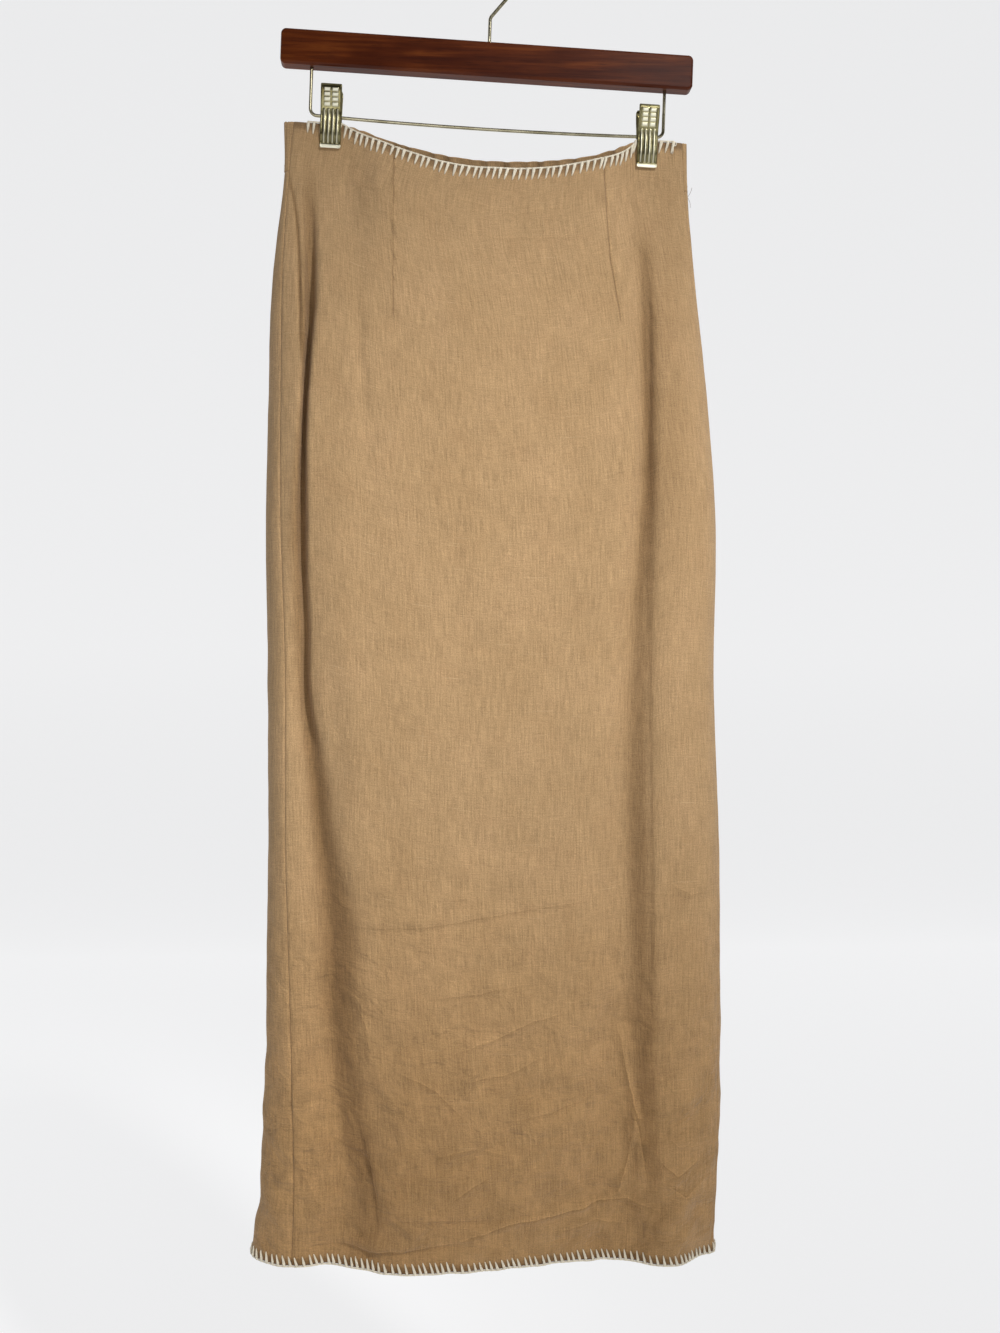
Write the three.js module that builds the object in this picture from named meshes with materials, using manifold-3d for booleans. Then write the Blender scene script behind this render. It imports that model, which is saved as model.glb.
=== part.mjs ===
// A straight maxi skirt hung by its waist from a wooden clip hanger.
// Millimetres, +Z up, the front faces -Y. The origin is the point of the hook that bears on a rail.
import * as THREE from "three";
import { mergeVertices } from "three/addons/utils/BufferGeometryUtils.js";
import Module from "manifold-3d";

const wasm = await Module();
wasm.setup();

// Driving dimensions of the skirt
const CLOTH = 1.2; // wall thickness
const GAP = 0.3; // between pieces that meet
const LENGTH = 972; // waist line to hem
const WAIST_Z = -148.2; // waist line below the hook's bearing point, at x = 0
const WAIST_SLOPE = 0.026; // the skirt hangs with its right side lower
const BAND_HEIGHT = 42; // elastic casing at the back waist
// The waist edge droops between the clips: how far, and how roundly towards the left and the right clip
const SAG = {
  front: { depth: 35, left: 1, right: 0.65 },
  back: { depth: 20, left: 1.5, right: 0.85 },
};
// A clip presses the cloth flat this near to its side and this far down, and not at all past the rest
const PINCH = { near: 3, far: 32, top: 30, bottom: 150 };
const GATHERS = 36; // waves of the elastic casing
const GATHER_DEPTH = 1.3;
const PANEL_GATHERS = 14; // where they run on into the back panel they merge
const PANEL_GATHER_DEPTH = 1.1;
const GATHER_RUN = 110; // length over which they fade out below the casing

// Driving dimensions of the blanket stitch: a yarn along the edge with a leg at each stitch
const STITCH_PITCH = 5.4;
const STITCH_LEG = 8;
const STITCH_WIDTH = 1.6;
const YARN = 1.0;
const YARN_LIFT = 0.85; // off the cloth, so that it clears the turns at the sides
const EDGE_OUT = 0.9; // the yarn stands out past the cloth's edge
const EDGE_IN = 0.7;
const WAIST_STITCH = { from: 0.022, to: 0.985 }; // shares of the front's waist edge

// Driving dimensions of the hanger, in its own level frame
const HANGER_TILT = THREE.MathUtils.degToRad(2);
const BAR = { length: 356, height: 30, depth: 14, top: -71.5, corner: 3.5, bevel: 2 };
const HOOK = { radius: 19, wire: 3, lean: 38, bend: 6, end: 283, seat: 18 };
const RAIL = { left: -151.5, right: 154.5, z: -142.4, bow: 2.5, wire: 2.8, bend: 6, seat: 12 };
const CLIP = { width: 18, down: 27.5, sheet: 1.4, barrel: 3.1, barrelLength: 12 };
const CLIP_X = { left: -133.5, right: 140.5 };
// A leaf of a clip, from its top down: distance from the rail's middle, and height above it
const LEAF_TOP = [
  { away: 9.2, height: 25.5 },
  { away: 8.8, height: 22.5 },
];
const LEAF_BEND = { top: 3, bottom: -15, jaw: -20 }; // it runs past the spring, then in to the jaw
const LEAF_PLAY = 0.1; // between the spring and each leaf, over the gap
const EAR = { sheet: 1, low: -2.4, high: 3.4, reach: -3 }; // the rear leaf's ears round the rail

// The skirt's outline, a row for each distance below the waist line: the x of its sides, the y where
// the sides turn, of the front and of the back, how squarely the sides turn, and how far in from the
// left side the left seam lies, and from the right side the right one.
const SECTIONS = [
  { drop: 0, left: -178, right: 170, side: 2, front: -7, back: 8, square: 6, leftIn: 8, rightIn: 4 },
  { drop: 42, left: -178, right: 171, side: 3, front: -11, back: 12, square: 6, leftIn: 4, rightIn: 3 },
  { drop: 130, left: -188, right: 179, side: 5, front: -20, back: 17, square: 7, leftIn: 9, rightIn: 2 },
  { drop: 235, left: -191.5, right: 190, side: 7, front: -26, back: 20, square: 8, leftIn: 11.5, rightIn: 2 },
  { drop: 335, left: -194, right: 196.5, side: 7, front: -28, back: 22, square: 9, leftIn: 14, rightIn: 2 },
  { drop: 470, left: -192.5, right: 195, side: 7, front: -28, back: 22, square: 9, leftIn: 16.5, rightIn: 3 },
  { drop: 615, left: -192, right: 200, side: 8, front: -28, back: 22, square: 9, leftIn: 16, rightIn: 4 },
  { drop: 755, left: -194, right: 201, side: 9, front: -27, back: 22, square: 9, leftIn: 22, rightIn: 5 },
  { drop: 895, left: -199, right: 200, side: 12, front: -25, back: 22, square: 7, leftIn: 30, rightIn: 4 },
  { drop: 972, left: -207, right: 197, side: 16, front: -23, back: 22, square: 6, leftIn: 36, rightIn: 4 },
];

// Folds, a row for each place along them: how far below the waist line, the x of the fold, how deep
// it is pressed in (a ridge is negative), and its reach to the left and to the right.
const FRONT_FOLDS = {
  leftGroove: [
    { drop: 60, x: -158, depth: 0, toLeft: 6, toRight: 6 },
    { drop: 102, x: -155, depth: 9, toLeft: 6, toRight: 6 },
    { drop: 168, x: -155, depth: 12, toLeft: 6, toRight: 6 },
    { drop: 243, x: -159, depth: 12, toLeft: 6, toRight: 6 },
    { drop: 326, x: -161, depth: 9, toLeft: 6, toRight: 7 },
    { drop: 427, x: -159, depth: 4, toLeft: 6, toRight: 7 },
    { drop: 552, x: -150, depth: 0, toLeft: 6, toRight: 8 },
  ],
  leftValley: [
    { drop: 300, x: -162, depth: 0, toLeft: 8, toRight: 18 },
    { drop: 427, x: -163, depth: 10, toLeft: 9, toRight: 19 },
    { drop: 494, x: -162, depth: 13, toLeft: 10, toRight: 19 },
    { drop: 561, x: -151, depth: 14.5, toLeft: 16, toRight: 18 },
    { drop: 686, x: -138, depth: 14.5, toLeft: 22, toRight: 20 },
    { drop: 812, x: -134, depth: 15, toLeft: 22, toRight: 24 },
    { drop: 912, x: -125, depth: 14, toLeft: 26, toRight: 30 },
    { drop: 972, x: -138, depth: 13, toLeft: 26, toRight: 38 },
  ],
  hemCrest: [
    { drop: 600, x: -70, depth: 0, toLeft: 45, toRight: 60 },
    { drop: 972, x: -76, depth: -10, toLeft: 36, toRight: 60 },
  ],
  hemCorner: [
    { drop: 900, x: 184, depth: 0, toLeft: 14, toRight: 20 },
    { drop: 972, x: 186, depth: 16, toLeft: 14, toRight: 20 },
  ],
  hipValley: [
    { drop: 92, x: -115, depth: 0, toLeft: 6, toRight: 6 },
    { drop: 170, x: -114, depth: 2, toLeft: 6, toRight: 6 },
    { drop: 290, x: -106, depth: 0, toLeft: 8, toRight: 8 },
  ],
  rightValley: [
    { drop: 82, x: 126, depth: 0, toLeft: 8, toRight: 8 },
    { drop: 146, x: 128, depth: 7, toLeft: 10, toRight: 8 },
    { drop: 231, x: 129, depth: 10, toLeft: 10, toRight: 8 },
    { drop: 316, x: 128, depth: 11, toLeft: 11, toRight: 9 },
    { drop: 418, x: 120, depth: 12, toLeft: 15, toRight: 14 },
    { drop: 555, x: 115, depth: 14, toLeft: 21, toRight: 17 },
    { drop: 682, x: 112, depth: 14.5, toLeft: 24, toRight: 18 },
    { drop: 742, x: 112, depth: 15, toLeft: 26, toRight: 19 },
    { drop: 810, x: 112, depth: 15, toLeft: 34, toRight: 21 },
    { drop: 870, x: 111, depth: 15, toLeft: 44, toRight: 24 },
    { drop: 912, x: 109, depth: 17, toLeft: 56, toRight: 26 },
    { drop: 972, x: 106, depth: 20, toLeft: 74, toRight: 28 },
  ],
};
const BACK_FOLDS = {
  outerLeft: [
    { drop: 60, x: -138, depth: 0, toLeft: 14, toRight: 20 },
    { drop: 420, x: -132, depth: 5, toLeft: 18, toRight: 26 },
    { drop: 972, x: -128, depth: 8, toLeft: 22, toRight: 30 },
  ],
  innerLeft: [
    { drop: 120, x: -52, depth: 0, toLeft: 20, toRight: 20 },
    { drop: 500, x: -48, depth: 4, toLeft: 24, toRight: 26 },
    { drop: 972, x: -38, depth: 8, toLeft: 28, toRight: 30 },
  ],
  innerRight: [
    { drop: 90, x: 44, depth: 0, toLeft: 18, toRight: 18 },
    { drop: 460, x: 50, depth: 4, toLeft: 24, toRight: 20 },
    { drop: 972, x: 58, depth: 7, toLeft: 30, toRight: 26 },
  ],
  outerRight: [
    { drop: 60, x: 122, depth: 0, toLeft: 18, toRight: 12 },
    { drop: 380, x: 128, depth: 5, toLeft: 22, toRight: 16 },
    { drop: 972, x: 140, depth: 6, toLeft: 26, toRight: 18 },
  ],
};

// Where the sections are cut for the walls
const WALL_DROPS = [0, 21, BAND_HEIGHT, 75, 120, 180, 250, 330, 420, 510, 600, 700, 800, 880, 935, LENGTH];
const FRONT_COLUMNS = 54;
const BACK_COLUMNS = 4 * PANEL_GATHERS;
const BAND_COLUMNS = 4 * GATHERS;
// Columns of the front stand closer where it folds: a share of the way round, its reach and its weight
const DENSE = [
  { at: 0.0, reach: 0.06, weight: 1.2 },
  { at: 0.1, reach: 0.09, weight: 2.2 },
  { at: 0.82, reach: 0.07, weight: 1.6 },
  { at: 1.0, reach: 0.08, weight: 1.2 },
];

const COLOURS = {
  linen: 0xb08d62,
  yarn: 0xeadfc6,
  wood: 0x4a1c0c,
  brass: 0xb3a67c,
};
const FINISH = {
  linen: { color: COLOURS.linen, roughness: 0.9, metalness: 0 },
  yarn: { color: COLOURS.yarn, roughness: 0.8, metalness: 0 },
  wood: { color: COLOURS.wood, roughness: 0.35, metalness: 0 },
  brass: { color: COLOURS.brass, roughness: 0.25, metalness: 1 },
};

const lerp = THREE.MathUtils.lerp;
const smoothstep = THREE.MathUtils.smoothstep;

// The value of one column of a table at a distance below the waist line, smooth between the rows.
function column(rows, key, drop) {
  const last = rows.length - 1;
  if (drop <= rows[0].drop) return rows[0][key];
  if (drop >= rows[last].drop) return rows[last][key];
  const i = rows.findIndex((row) => row.drop > drop) - 1;
  const slope = (k) => {
    const a = rows[Math.max(k - 1, 0)];
    const b = rows[Math.min(k + 1, last)];
    return (b[key] - a[key]) / (b.drop - a.drop);
  };
  const span = rows[i + 1].drop - rows[i].drop;
  const t = (drop - rows[i].drop) / span;
  const [t2, t3] = [t * t, t * t * t];
  return (
    (2 * t3 - 3 * t2 + 1) * rows[i][key] +
    (t3 - 2 * t2 + t) * span * slope(i) +
    (3 * t2 - 2 * t3) * rows[i + 1][key] +
    (t3 - t2) * span * slope(i + 1)
  );
}

// How far all the folds of one side press the cloth in at a point.
function pressedIn(folds, x, drop) {
  let total = 0;
  for (const rows of Object.values(folds)) {
    const away = x - column(rows, "x", drop);
    const reach = column(rows, away < 0 ? "toLeft" : "toRight", drop);
    total += column(rows, "depth", drop) * Math.exp(-((away / reach) ** 2));
  }
  return total;
}

// The x of each clip where it grips the waist.
const gripX = Object.values(CLIP_X).map(
  (x) => x * Math.cos(HANGER_TILT) + (RAIL.z - CLIP.down) * Math.sin(HANGER_TILT),
);

// 1 under a clip's jaws, where front and back are pressed together, and 0 away from them.
function pinch(x, drop) {
  const away = Math.min(...gripX.map((grip) => Math.abs(x - grip))) - CLIP.width / 2;
  return (1 - smoothstep(away, PINCH.near, PINCH.far)) * (1 - smoothstep(drop, PINCH.top, PINCH.bottom));
}

// The droop of the waist edge at x.
function droop(sag, x) {
  const middle = (gripX[0] + gripX[1]) / 2;
  const half = (gripX[1] - gripX[0] - CLIP.width) / 2;
  const power = x < middle ? sag.left : sag.right;
  return sag.depth * Math.max(0, 1 - ((x - middle) / half) ** 2) ** power;
}

// The cloth's middle surface. Round the skirt, angle 0 is the left side, pi/2 the middle of the front,
// pi the right side and 3 pi/2 the middle of the back. level is the distance below the waist edge, which
// droops, so that the hem stays at LENGTH.
function clothPoint(angle, level, waves = 0) {
  const across = -Math.cos(angle);
  const isFront = Math.sin(angle) >= 0;
  const waistMiddle = (SECTIONS[0].left + SECTIONS[0].right) / 2;
  const waistHalf = (SECTIONS[0].right - SECTIONS[0].left) / 2;
  const sag = droop(isFront ? SAG.front : SAG.back, waistMiddle + across * waistHalf);
  const drop = level + sag * (1 - level / LENGTH);
  const at = (key) => column(SECTIONS, key, drop);
  const x = (at("left") + at("right")) / 2 + (across * (at("right") - at("left"))) / 2;
  const turn = Math.sqrt(Math.max(0, 1 - Math.abs(across) ** at("square")));
  const plane = isFront ? at("front") : at("back");
  const inward = isFront ? pressedIn(FRONT_FOLDS, x, drop) : -pressedIn(BACK_FOLDS, x, drop);
  const free = at("side") + (plane - at("side") + inward + waves) * turn;
  const gripped = (isFront ? -1 : 1) * (CLOTH + GAP) / 2;
  const y = lerp(free, gripped, pinch(x, drop));
  return new THREE.Vector3(x, y, WAIST_Z - WAIST_SLOPE * x - drop);
}

// The level normal of the cloth, pointing out of the skirt.
function clothNormal(angle, level, waves) {
  const step = 1e-3;
  const a = clothPoint(angle - step, level, waves);
  const b = clothPoint(angle + step, level, waves);
  return new THREE.Vector3(b.y - a.y, a.x - b.x, 0).normalize();
}

// The angles of the two side seams at a level, moved along the cloth by half the seam's gap.
function seamAngles(level, sign) {
  const at = (key) => column(SECTIONS, key, level);
  const half = (at("right") - at("left")) / 2;
  const left = Math.acos(1 - at("leftIn") / half);
  const right = Math.PI - Math.acos(1 - at("rightIn") / half);
  const shift = (angle) => {
    const step = 1e-3;
    const speed = clothPoint(angle + step, level).distanceTo(clothPoint(angle - step, level)) / (2 * step);
    return GAP / 2 / speed;
  };
  return [left + sign * shift(left), right - sign * shift(right)];
}

// Shares of the way across the front, closer together where the cloth folds.
function denseShares(count) {
  const fine = 2000;
  const bump = (share, { at, reach, weight }) => weight * Math.exp(-(((share - at) / reach) ** 2));
  const density = (share) => DENSE.reduce((sum, row) => sum + bump(share, row), 1);
  const sums = [0];
  for (let i = 1; i <= fine; i++) sums.push(sums[i - 1] + density((i - 0.5) / fine));
  return Array.from({ length: count + 1 }, (_, k) => {
    const wanted = (sums[fine] * k) / count;
    const i = Math.max(1, sums.findIndex((sum) => sum >= wanted - 1e-9));
    return (i - 1 + (wanted - sums[i - 1]) / (sums[i] - sums[i - 1])) / fine;
  });
}

// A grid of points on one piece of cloth, each row at its level, with the normals.
function clothGrid(levels, spanAt, shares, wavesAt = () => 0) {
  return levels.map((level) => {
    const [from, to] = spanAt(level);
    return shares.map((share, k) => {
      const angle = lerp(from, to, share);
      const waves = wavesAt(share, level, k);
      return { point: clothPoint(angle, level, waves), normal: clothNormal(angle, level, 0) };
    });
  });
}

// The two faces of a cloth wall on a grid, with its four edges closed.
function wallGeometry(grid) {
  const [rows, columns] = [grid.length, grid[0].length];
  const side = (offset) =>
    grid.flat().map(({ point, normal }) => point.clone().addScaledVector(normal, (offset * CLOTH) / 2));
  const points = [...side(1), ...side(-1)];
  const outer = (r, c) => r * columns + c;
  const inner = (r, c) => rows * columns + outer(r, c);
  const index = [];
  const quad = (a, b, c, d) => index.push(a, b, c, a, c, d);
  const [lastRow, lastColumn] = [rows - 1, columns - 1];
  for (let r = 0; r < lastRow; r++)
    for (let c = 0; c < lastColumn; c++) {
      quad(outer(r, c), outer(r + 1, c), outer(r + 1, c + 1), outer(r, c + 1));
      quad(inner(r, c), inner(r, c + 1), inner(r + 1, c + 1), inner(r + 1, c));
    }
  for (let c = 0; c < lastColumn; c++) {
    quad(outer(0, c), outer(0, c + 1), inner(0, c + 1), inner(0, c));
    quad(outer(lastRow, c), inner(lastRow, c), inner(lastRow, c + 1), outer(lastRow, c + 1));
  }
  for (let r = 0; r < lastRow; r++) {
    quad(outer(r, 0), inner(r, 0), inner(r + 1, 0), outer(r + 1, 0));
    quad(outer(r, lastColumn), outer(r + 1, lastColumn), inner(r + 1, lastColumn), inner(r, lastColumn));
  }
  return new THREE.BufferGeometry()
    .setAttribute("position", new THREE.Float32BufferAttribute(points.flatMap((p) => [p.x, p.y, p.z]), 3))
    .setIndex(index);
}

// A place on a grid's outer face: col may be a fraction, inward is the distance from the edge row
// towards the next one, and out the distance off the face.
function onEdge(edgeRow, nextRow, col, inward, out) {
  const k = Math.min(Math.floor(col), edgeRow.length - 2);
  const mix = (row, key) => row[k][key].clone().lerp(row[k + 1][key], col - k);
  const [edge, next] = [mix(edgeRow, "point"), mix(nextRow, "point")];
  const normal = mix(edgeRow, "normal").normalize();
  return edge
    .clone()
    .addScaledVector(next.clone().sub(edge).normalize(), inward)
    .addScaledVector(normal, CLOTH / 2 + out);
}

// Blanket stitch along an edge: one yarn bar with a pointed leg at each stitch, lying on the cloth.
function blanketStitch(edgeRow, nextRow, run, closed) {
  const lengths = [0];
  for (let k = 1; k < edgeRow.length; k++)
    lengths.push(lengths[k - 1] + edgeRow[k].point.distanceTo(edgeRow[k - 1].point));
  const total = lengths.at(-1);
  const columnAt = (distance) => {
    const k = Math.max(1, lengths.findIndex((sum) => sum >= distance));
    return k - 1 + (distance - lengths[k - 1]) / (lengths[k] - lengths[k - 1]);
  };
  const start = total * run.from;
  const count = Math.round((total * (run.to - run.from)) / STITCH_PITCH);
  const pitch = (total * (run.to - run.from)) / count;
  const [near, far] = [YARN_LIFT, YARN_LIFT + YARN];
  const points = [];
  const add = (distance, inward) => {
    const col = columnAt(Math.min(distance, total - 1e-6));
    points.push(onEdge(edgeRow, nextRow, col, inward, near), onEdge(edgeRow, nextRow, col, inward, far));
    return points.length - 2;
  };
  const index = [];
  const stations = [];
  for (let s = 0; s < count; s++) {
    const middle = start + pitch * (s + 0.5);
    for (const side of [-1, 1]) {
      const at = middle + (side * STITCH_WIDTH) / 2;
      stations.push({ outside: add(at, -EDGE_OUT), inside: add(at, EDGE_IN) });
    }
    stations.at(-2).tip = add(middle, STITCH_LEG);
  }
  // Each point holds its near copy, and its far copy comes next.
  const wall = (a, b) => index.push(a, b, b + 1, a, b + 1, a + 1);
  const slab = (a, b, c) => index.push(a + 1, b + 1, c + 1, a, c, b);
  const joints = closed ? stations.length : stations.length - 1;
  for (let k = 0; k < joints; k++) {
    const [a, b] = [stations[k], stations[(k + 1) % stations.length]];
    slab(a.outside, b.outside, b.inside);
    slab(a.outside, b.inside, a.inside);
    wall(a.outside, b.outside);
    if (a.tip === undefined) wall(b.inside, a.inside);
    else {
      slab(a.inside, b.inside, a.tip);
      wall(b.inside, a.tip);
      wall(a.tip, a.inside);
    }
  }
  if (!closed) {
    wall(stations[0].inside, stations[0].outside);
    wall(stations.at(-1).outside, stations.at(-1).inside);
  }
  return new THREE.BufferGeometry()
    .setAttribute("position", new THREE.Float32BufferAttribute(points.flatMap((p) => [p.x, p.y, p.z]), 3))
    .setIndex(index);
}

// Turns a geometry's faces round if its volume comes out negative.
function facingOut(geometry) {
  if (solidOf(geometry).volume() > 0) return geometry;
  const index = geometry.index.array;
  for (let i = 0; i < index.length; i += 3) [index[i + 1], index[i + 2]] = [index[i + 2], index[i + 1]];
  return geometry;
}

function solidOf(geometry) {
  const bare = geometry.clone();
  bare.deleteAttribute("normal");
  bare.deleteAttribute("uv");
  const merged = mergeVertices(bare, 1e-4);
  return new wasm.Manifold(
    new wasm.Mesh({
      numProp: 3,
      vertProperties: merged.attributes.position.array,
      triVerts: new Uint32Array(merged.index.array),
    }),
  );
}

function geometryOf(solid) {
  const mesh = solid.getMesh();
  return new THREE.BufferGeometry()
    .setAttribute("position", new THREE.Float32BufferAttribute(mesh.vertProperties, 3))
    .setIndex(new THREE.Uint32BufferAttribute(mesh.triVerts, 1));
}

function mesh(name, geometry, finish) {
  const made = new THREE.Mesh(geometry, new THREE.MeshStandardMaterial(FINISH[finish]));
  made.name = name;
  return made;
}

// A curve through listed points, taken one point at a step.
class Route extends THREE.Curve {
  constructor(points) {
    super();
    this.points = points;
  }
  getPoint(t) {
    const along = t * (this.points.length - 1);
    const k = Math.min(Math.floor(along), this.points.length - 2);
    return this.points[k].clone().lerp(this.points[k + 1], along - k);
  }
  getPointAt(u) {
    return this.getPoint(u);
  }
  getTangentAt(u) {
    const k = Math.round(u * (this.points.length - 1));
    const before = this.points[Math.max(k - 1, 0)];
    const after = this.points[Math.min(k + 1, this.points.length - 1)];
    return after.clone().sub(before).normalize();
  }
}

function wireGeometry(points, diameter) {
  const section = new THREE.Shape();
  section.absarc(0, 0, diameter / 2, 0, 2 * Math.PI);
  return new THREE.ExtrudeGeometry(section, {
    steps: points.length - 1,
    extrudePath: new Route(points),
    curveSegments: 8,
    bevelEnabled: false,
  });
}

// Points of a bend of a radius between two straight runs in the hanger's plane.
function bendPoints(corner, from, to, radius, count) {
  const [a, b] = [from.clone().sub(corner).normalize(), to.clone().sub(corner).normalize()];
  const half = a.angleTo(b) / 2;
  const centre = corner.clone().addScaledVector(a.clone().add(b).normalize(), radius / Math.sin(half));
  const reach = radius / Math.tan(half);
  const first = corner.clone().addScaledVector(a, reach).sub(centre);
  const last = corner.clone().addScaledVector(b, reach).sub(centre);
  const axis = first.clone().cross(last).normalize();
  const turn = first.angleTo(last);
  return Array.from({ length: count + 1 }, (_, k) =>
    centre.clone().add(first.clone().applyAxisAngle(axis, (turn * k) / count)),
  );
}

const flat = (x, z) => new THREE.Vector3(x, 0, z);

// The hook: a stem out of the bar, a lean to the right, and an open loop over the rail.
function hookPoints() {
  const centre = flat(0, HOOK.wire / 2 - HOOK.radius);
  const lean = THREE.MathUtils.degToRad(HOOK.lean);
  const leave = Math.PI / 2 - lean;
  const onLoop = (angle) =>
    centre.clone().add(flat(HOOK.radius * Math.sin(angle), -HOOK.radius * Math.cos(angle)));
  const loopStart = onLoop(leave);
  const corner = flat(0, loopStart.z - loopStart.x / Math.tan(lean));
  const foot = flat(0, BAR.top - HOOK.seat);
  const steps = 26;
  const end = THREE.MathUtils.degToRad(HOOK.end);
  const loop = Array.from({ length: steps + 1 }, (_, k) => onLoop(lerp(leave, end, k / steps)));
  return [foot, ...bendPoints(corner, foot, loopStart, HOOK.bend, 4), ...loop];
}

// The height of the bowed rail at x.
function railZ(x) {
  const middle = (RAIL.left + RAIL.right) / 2;
  const reach = (RAIL.right - RAIL.left) / 2 - RAIL.bend;
  return RAIL.z - RAIL.bow * (1 - ((x - middle) / reach) ** 2);
}

// The wire rail below the bar, bowed a little, with both ends turned up into the bar.
function railPoints() {
  const top = BAR.top - BAR.height + RAIL.seat;
  const end = (x) => bendPoints(flat(x, RAIL.z), flat(x, top), flat(0, RAIL.z), RAIL.bend, 6);
  const bowSteps = 8;
  const bow = Array.from({ length: bowSteps - 1 }, (_, k) => {
    const x = lerp(RAIL.left + RAIL.bend, RAIL.right - RAIL.bend, (k + 1) / bowSteps);
    return flat(x, railZ(x));
  });
  const leftEnd = [flat(RAIL.left, top), ...end(RAIL.left)];
  const rightEnd = [flat(RAIL.right, top), ...end(RAIL.right)];
  return [...leftEnd, ...bow, ...rightEnd.reverse()];
}

// A round hole or pin along Z or X, as a solid.
function roundSolid(radius, length, place, alongX = false) {
  const made = new THREE.CylinderGeometry(radius, radius, length, 16);
  if (alongX) made.rotateZ(Math.PI / 2);
  else made.rotateX(Math.PI / 2);
  return solidOf(made.translate(place.x, place.y, place.z));
}

// The wooden bar with blind holes for the hook and the two ends of the rail.
function barGeometry() {
  const [half, high] = [BAR.length / 2 - BAR.bevel, BAR.height - 2 * BAR.bevel];
  const corner = BAR.corner - BAR.bevel / 2;
  const outline = new THREE.Shape();
  const bottom = -high / 2;
  outline.moveTo(-half + corner, bottom);
  outline.absarc(half - corner, bottom + corner, corner, -Math.PI / 2, 0);
  outline.absarc(half - corner, -bottom - corner, corner, 0, Math.PI / 2);
  outline.absarc(-half + corner, -bottom - corner, corner, Math.PI / 2, Math.PI);
  outline.absarc(-half + corner, bottom + corner, corner, Math.PI, 1.5 * Math.PI);
  const block = new THREE.ExtrudeGeometry(outline, {
    depth: BAR.depth - 2 * BAR.bevel,
    bevelThickness: BAR.bevel,
    bevelSize: BAR.bevel,
    bevelSegments: 2,
    curveSegments: 4,
  });
  block.translate(0, 0, BAR.bevel - BAR.depth / 2).rotateX(Math.PI / 2);
  block.translate(0, 0, BAR.top - BAR.height / 2);
  const under = BAR.top - BAR.height;
  const extra = 1;
  const hookHole = HOOK.seat + GAP + extra;
  const railHole = RAIL.seat + GAP + extra;
  let bar = solidOf(block);
  bar = bar.subtract(roundSolid(HOOK.wire / 2 + GAP, hookHole, flat(0, BAR.top + extra - hookHole / 2)));
  for (const x of [RAIL.left, RAIL.right]) {
    const place = flat(x, under - extra + railHole / 2);
    bar = bar.subtract(roundSolid(RAIL.wire / 2 + GAP, railHole, place));
  }
  return geometryOf(bar);
}

// One leaf of a clip, bent from sheet: open at the top, close to the rail, and shut at the jaw.
function leafSolid(side) {
  const jaw = CLOTH + GAP / 2 + GAP + CLIP.sheet / 2;
  const waist = CLIP.barrel + GAP + CLIP.sheet / 2 + LEAF_PLAY;
  const line = [
    ...LEAF_TOP,
    { away: waist, height: LEAF_BEND.top },
    { away: waist, height: LEAF_BEND.bottom },
    { away: jaw, height: LEAF_BEND.jaw },
    { away: jaw, height: -CLIP.down },
  ].map(({ away, height }) => new THREE.Vector2(side * away, height));
  const offset = (sign) =>
    line.map((p, k) => {
      const before = line[Math.max(k - 1, 0)];
      const after = line[Math.min(k + 1, line.length - 1)];
      const across = after.clone().sub(before).normalize().rotateAround(new THREE.Vector2(), Math.PI / 2);
      return p.clone().addScaledVector(across, (sign * CLIP.sheet) / 2);
    });
  const outline = new THREE.Shape([...offset(1), ...offset(-1).reverse()]);
  const made = new THREE.ExtrudeGeometry(outline, { depth: CLIP.width, bevelEnabled: false });
  made.translate(0, 0, -CLIP.width / 2);
  const sideways = new THREE.Matrix4().makeBasis(
    new THREE.Vector3(0, 1, 0),
    new THREE.Vector3(0, 0, 1),
    new THREE.Vector3(1, 0, 0),
  );
  return solidOf(made.applyMatrix4(sideways));
}

// The rear leaf has two ears that reach forward, with a hole each for the rail.
function rearLeafSolid() {
  const plate = CLIP.barrel + GAP + CLIP.sheet / 2;
  const hole = roundSolid(RAIL.wire / 2 + GAP, CLIP.width, flat(0, 0), true);
  const ears = [-1, 1].map((side) => {
    const ear = new THREE.BoxGeometry(EAR.sheet, plate - EAR.reach, EAR.high - EAR.low);
    const x = side * (CLIP.barrelLength / 2 + GAP + EAR.sheet / 2);
    ear.translate(x, (plate + EAR.reach) / 2, (EAR.high + EAR.low) / 2);
    return solidOf(ear).subtract(hole);
  });
  return leafSolid(1).add(ears[0]).add(ears[1]);
}

// The spring that opens the leaves, wound round the rail.
function springGeometry() {
  const profile = [
    [RAIL.wire / 2 + GAP, -CLIP.barrelLength / 2],
    [CLIP.barrel, -CLIP.barrelLength / 2],
    [CLIP.barrel, CLIP.barrelLength / 2],
    [RAIL.wire / 2 + GAP, CLIP.barrelLength / 2],
    [RAIL.wire / 2 + GAP, -CLIP.barrelLength / 2],
  ].map(([x, y]) => new THREE.Vector2(x, y));
  return new THREE.LatheGeometry(profile, 14).rotateZ(Math.PI / 2);
}

function clip(name, x) {
  const group = new THREE.Group();
  group.position.set(x, 0, railZ(x));
  group.add(
    mesh(`${name}_clip_front_leaf`, geometryOf(leafSolid(-1)), "brass"),
    mesh(`${name}_clip_rear_leaf`, geometryOf(rearLeafSolid()), "brass"),
    mesh(`${name}_clip_spring`, facingOut(springGeometry()), "brass"),
  );
  return group;
}

function hanger() {
  const group = new THREE.Group();
  group.rotation.y = HANGER_TILT;
  group.add(
    mesh("hanger_bar", barGeometry(), "wood"),
    mesh("hanger_hook", wireGeometry(hookPoints(), HOOK.wire), "brass"),
    mesh("clip_rail", wireGeometry(railPoints(), RAIL.wire), "brass"),
    clip("left", CLIP_X.left),
    clip("right", CLIP_X.right),
  );
  return group;
}

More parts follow.
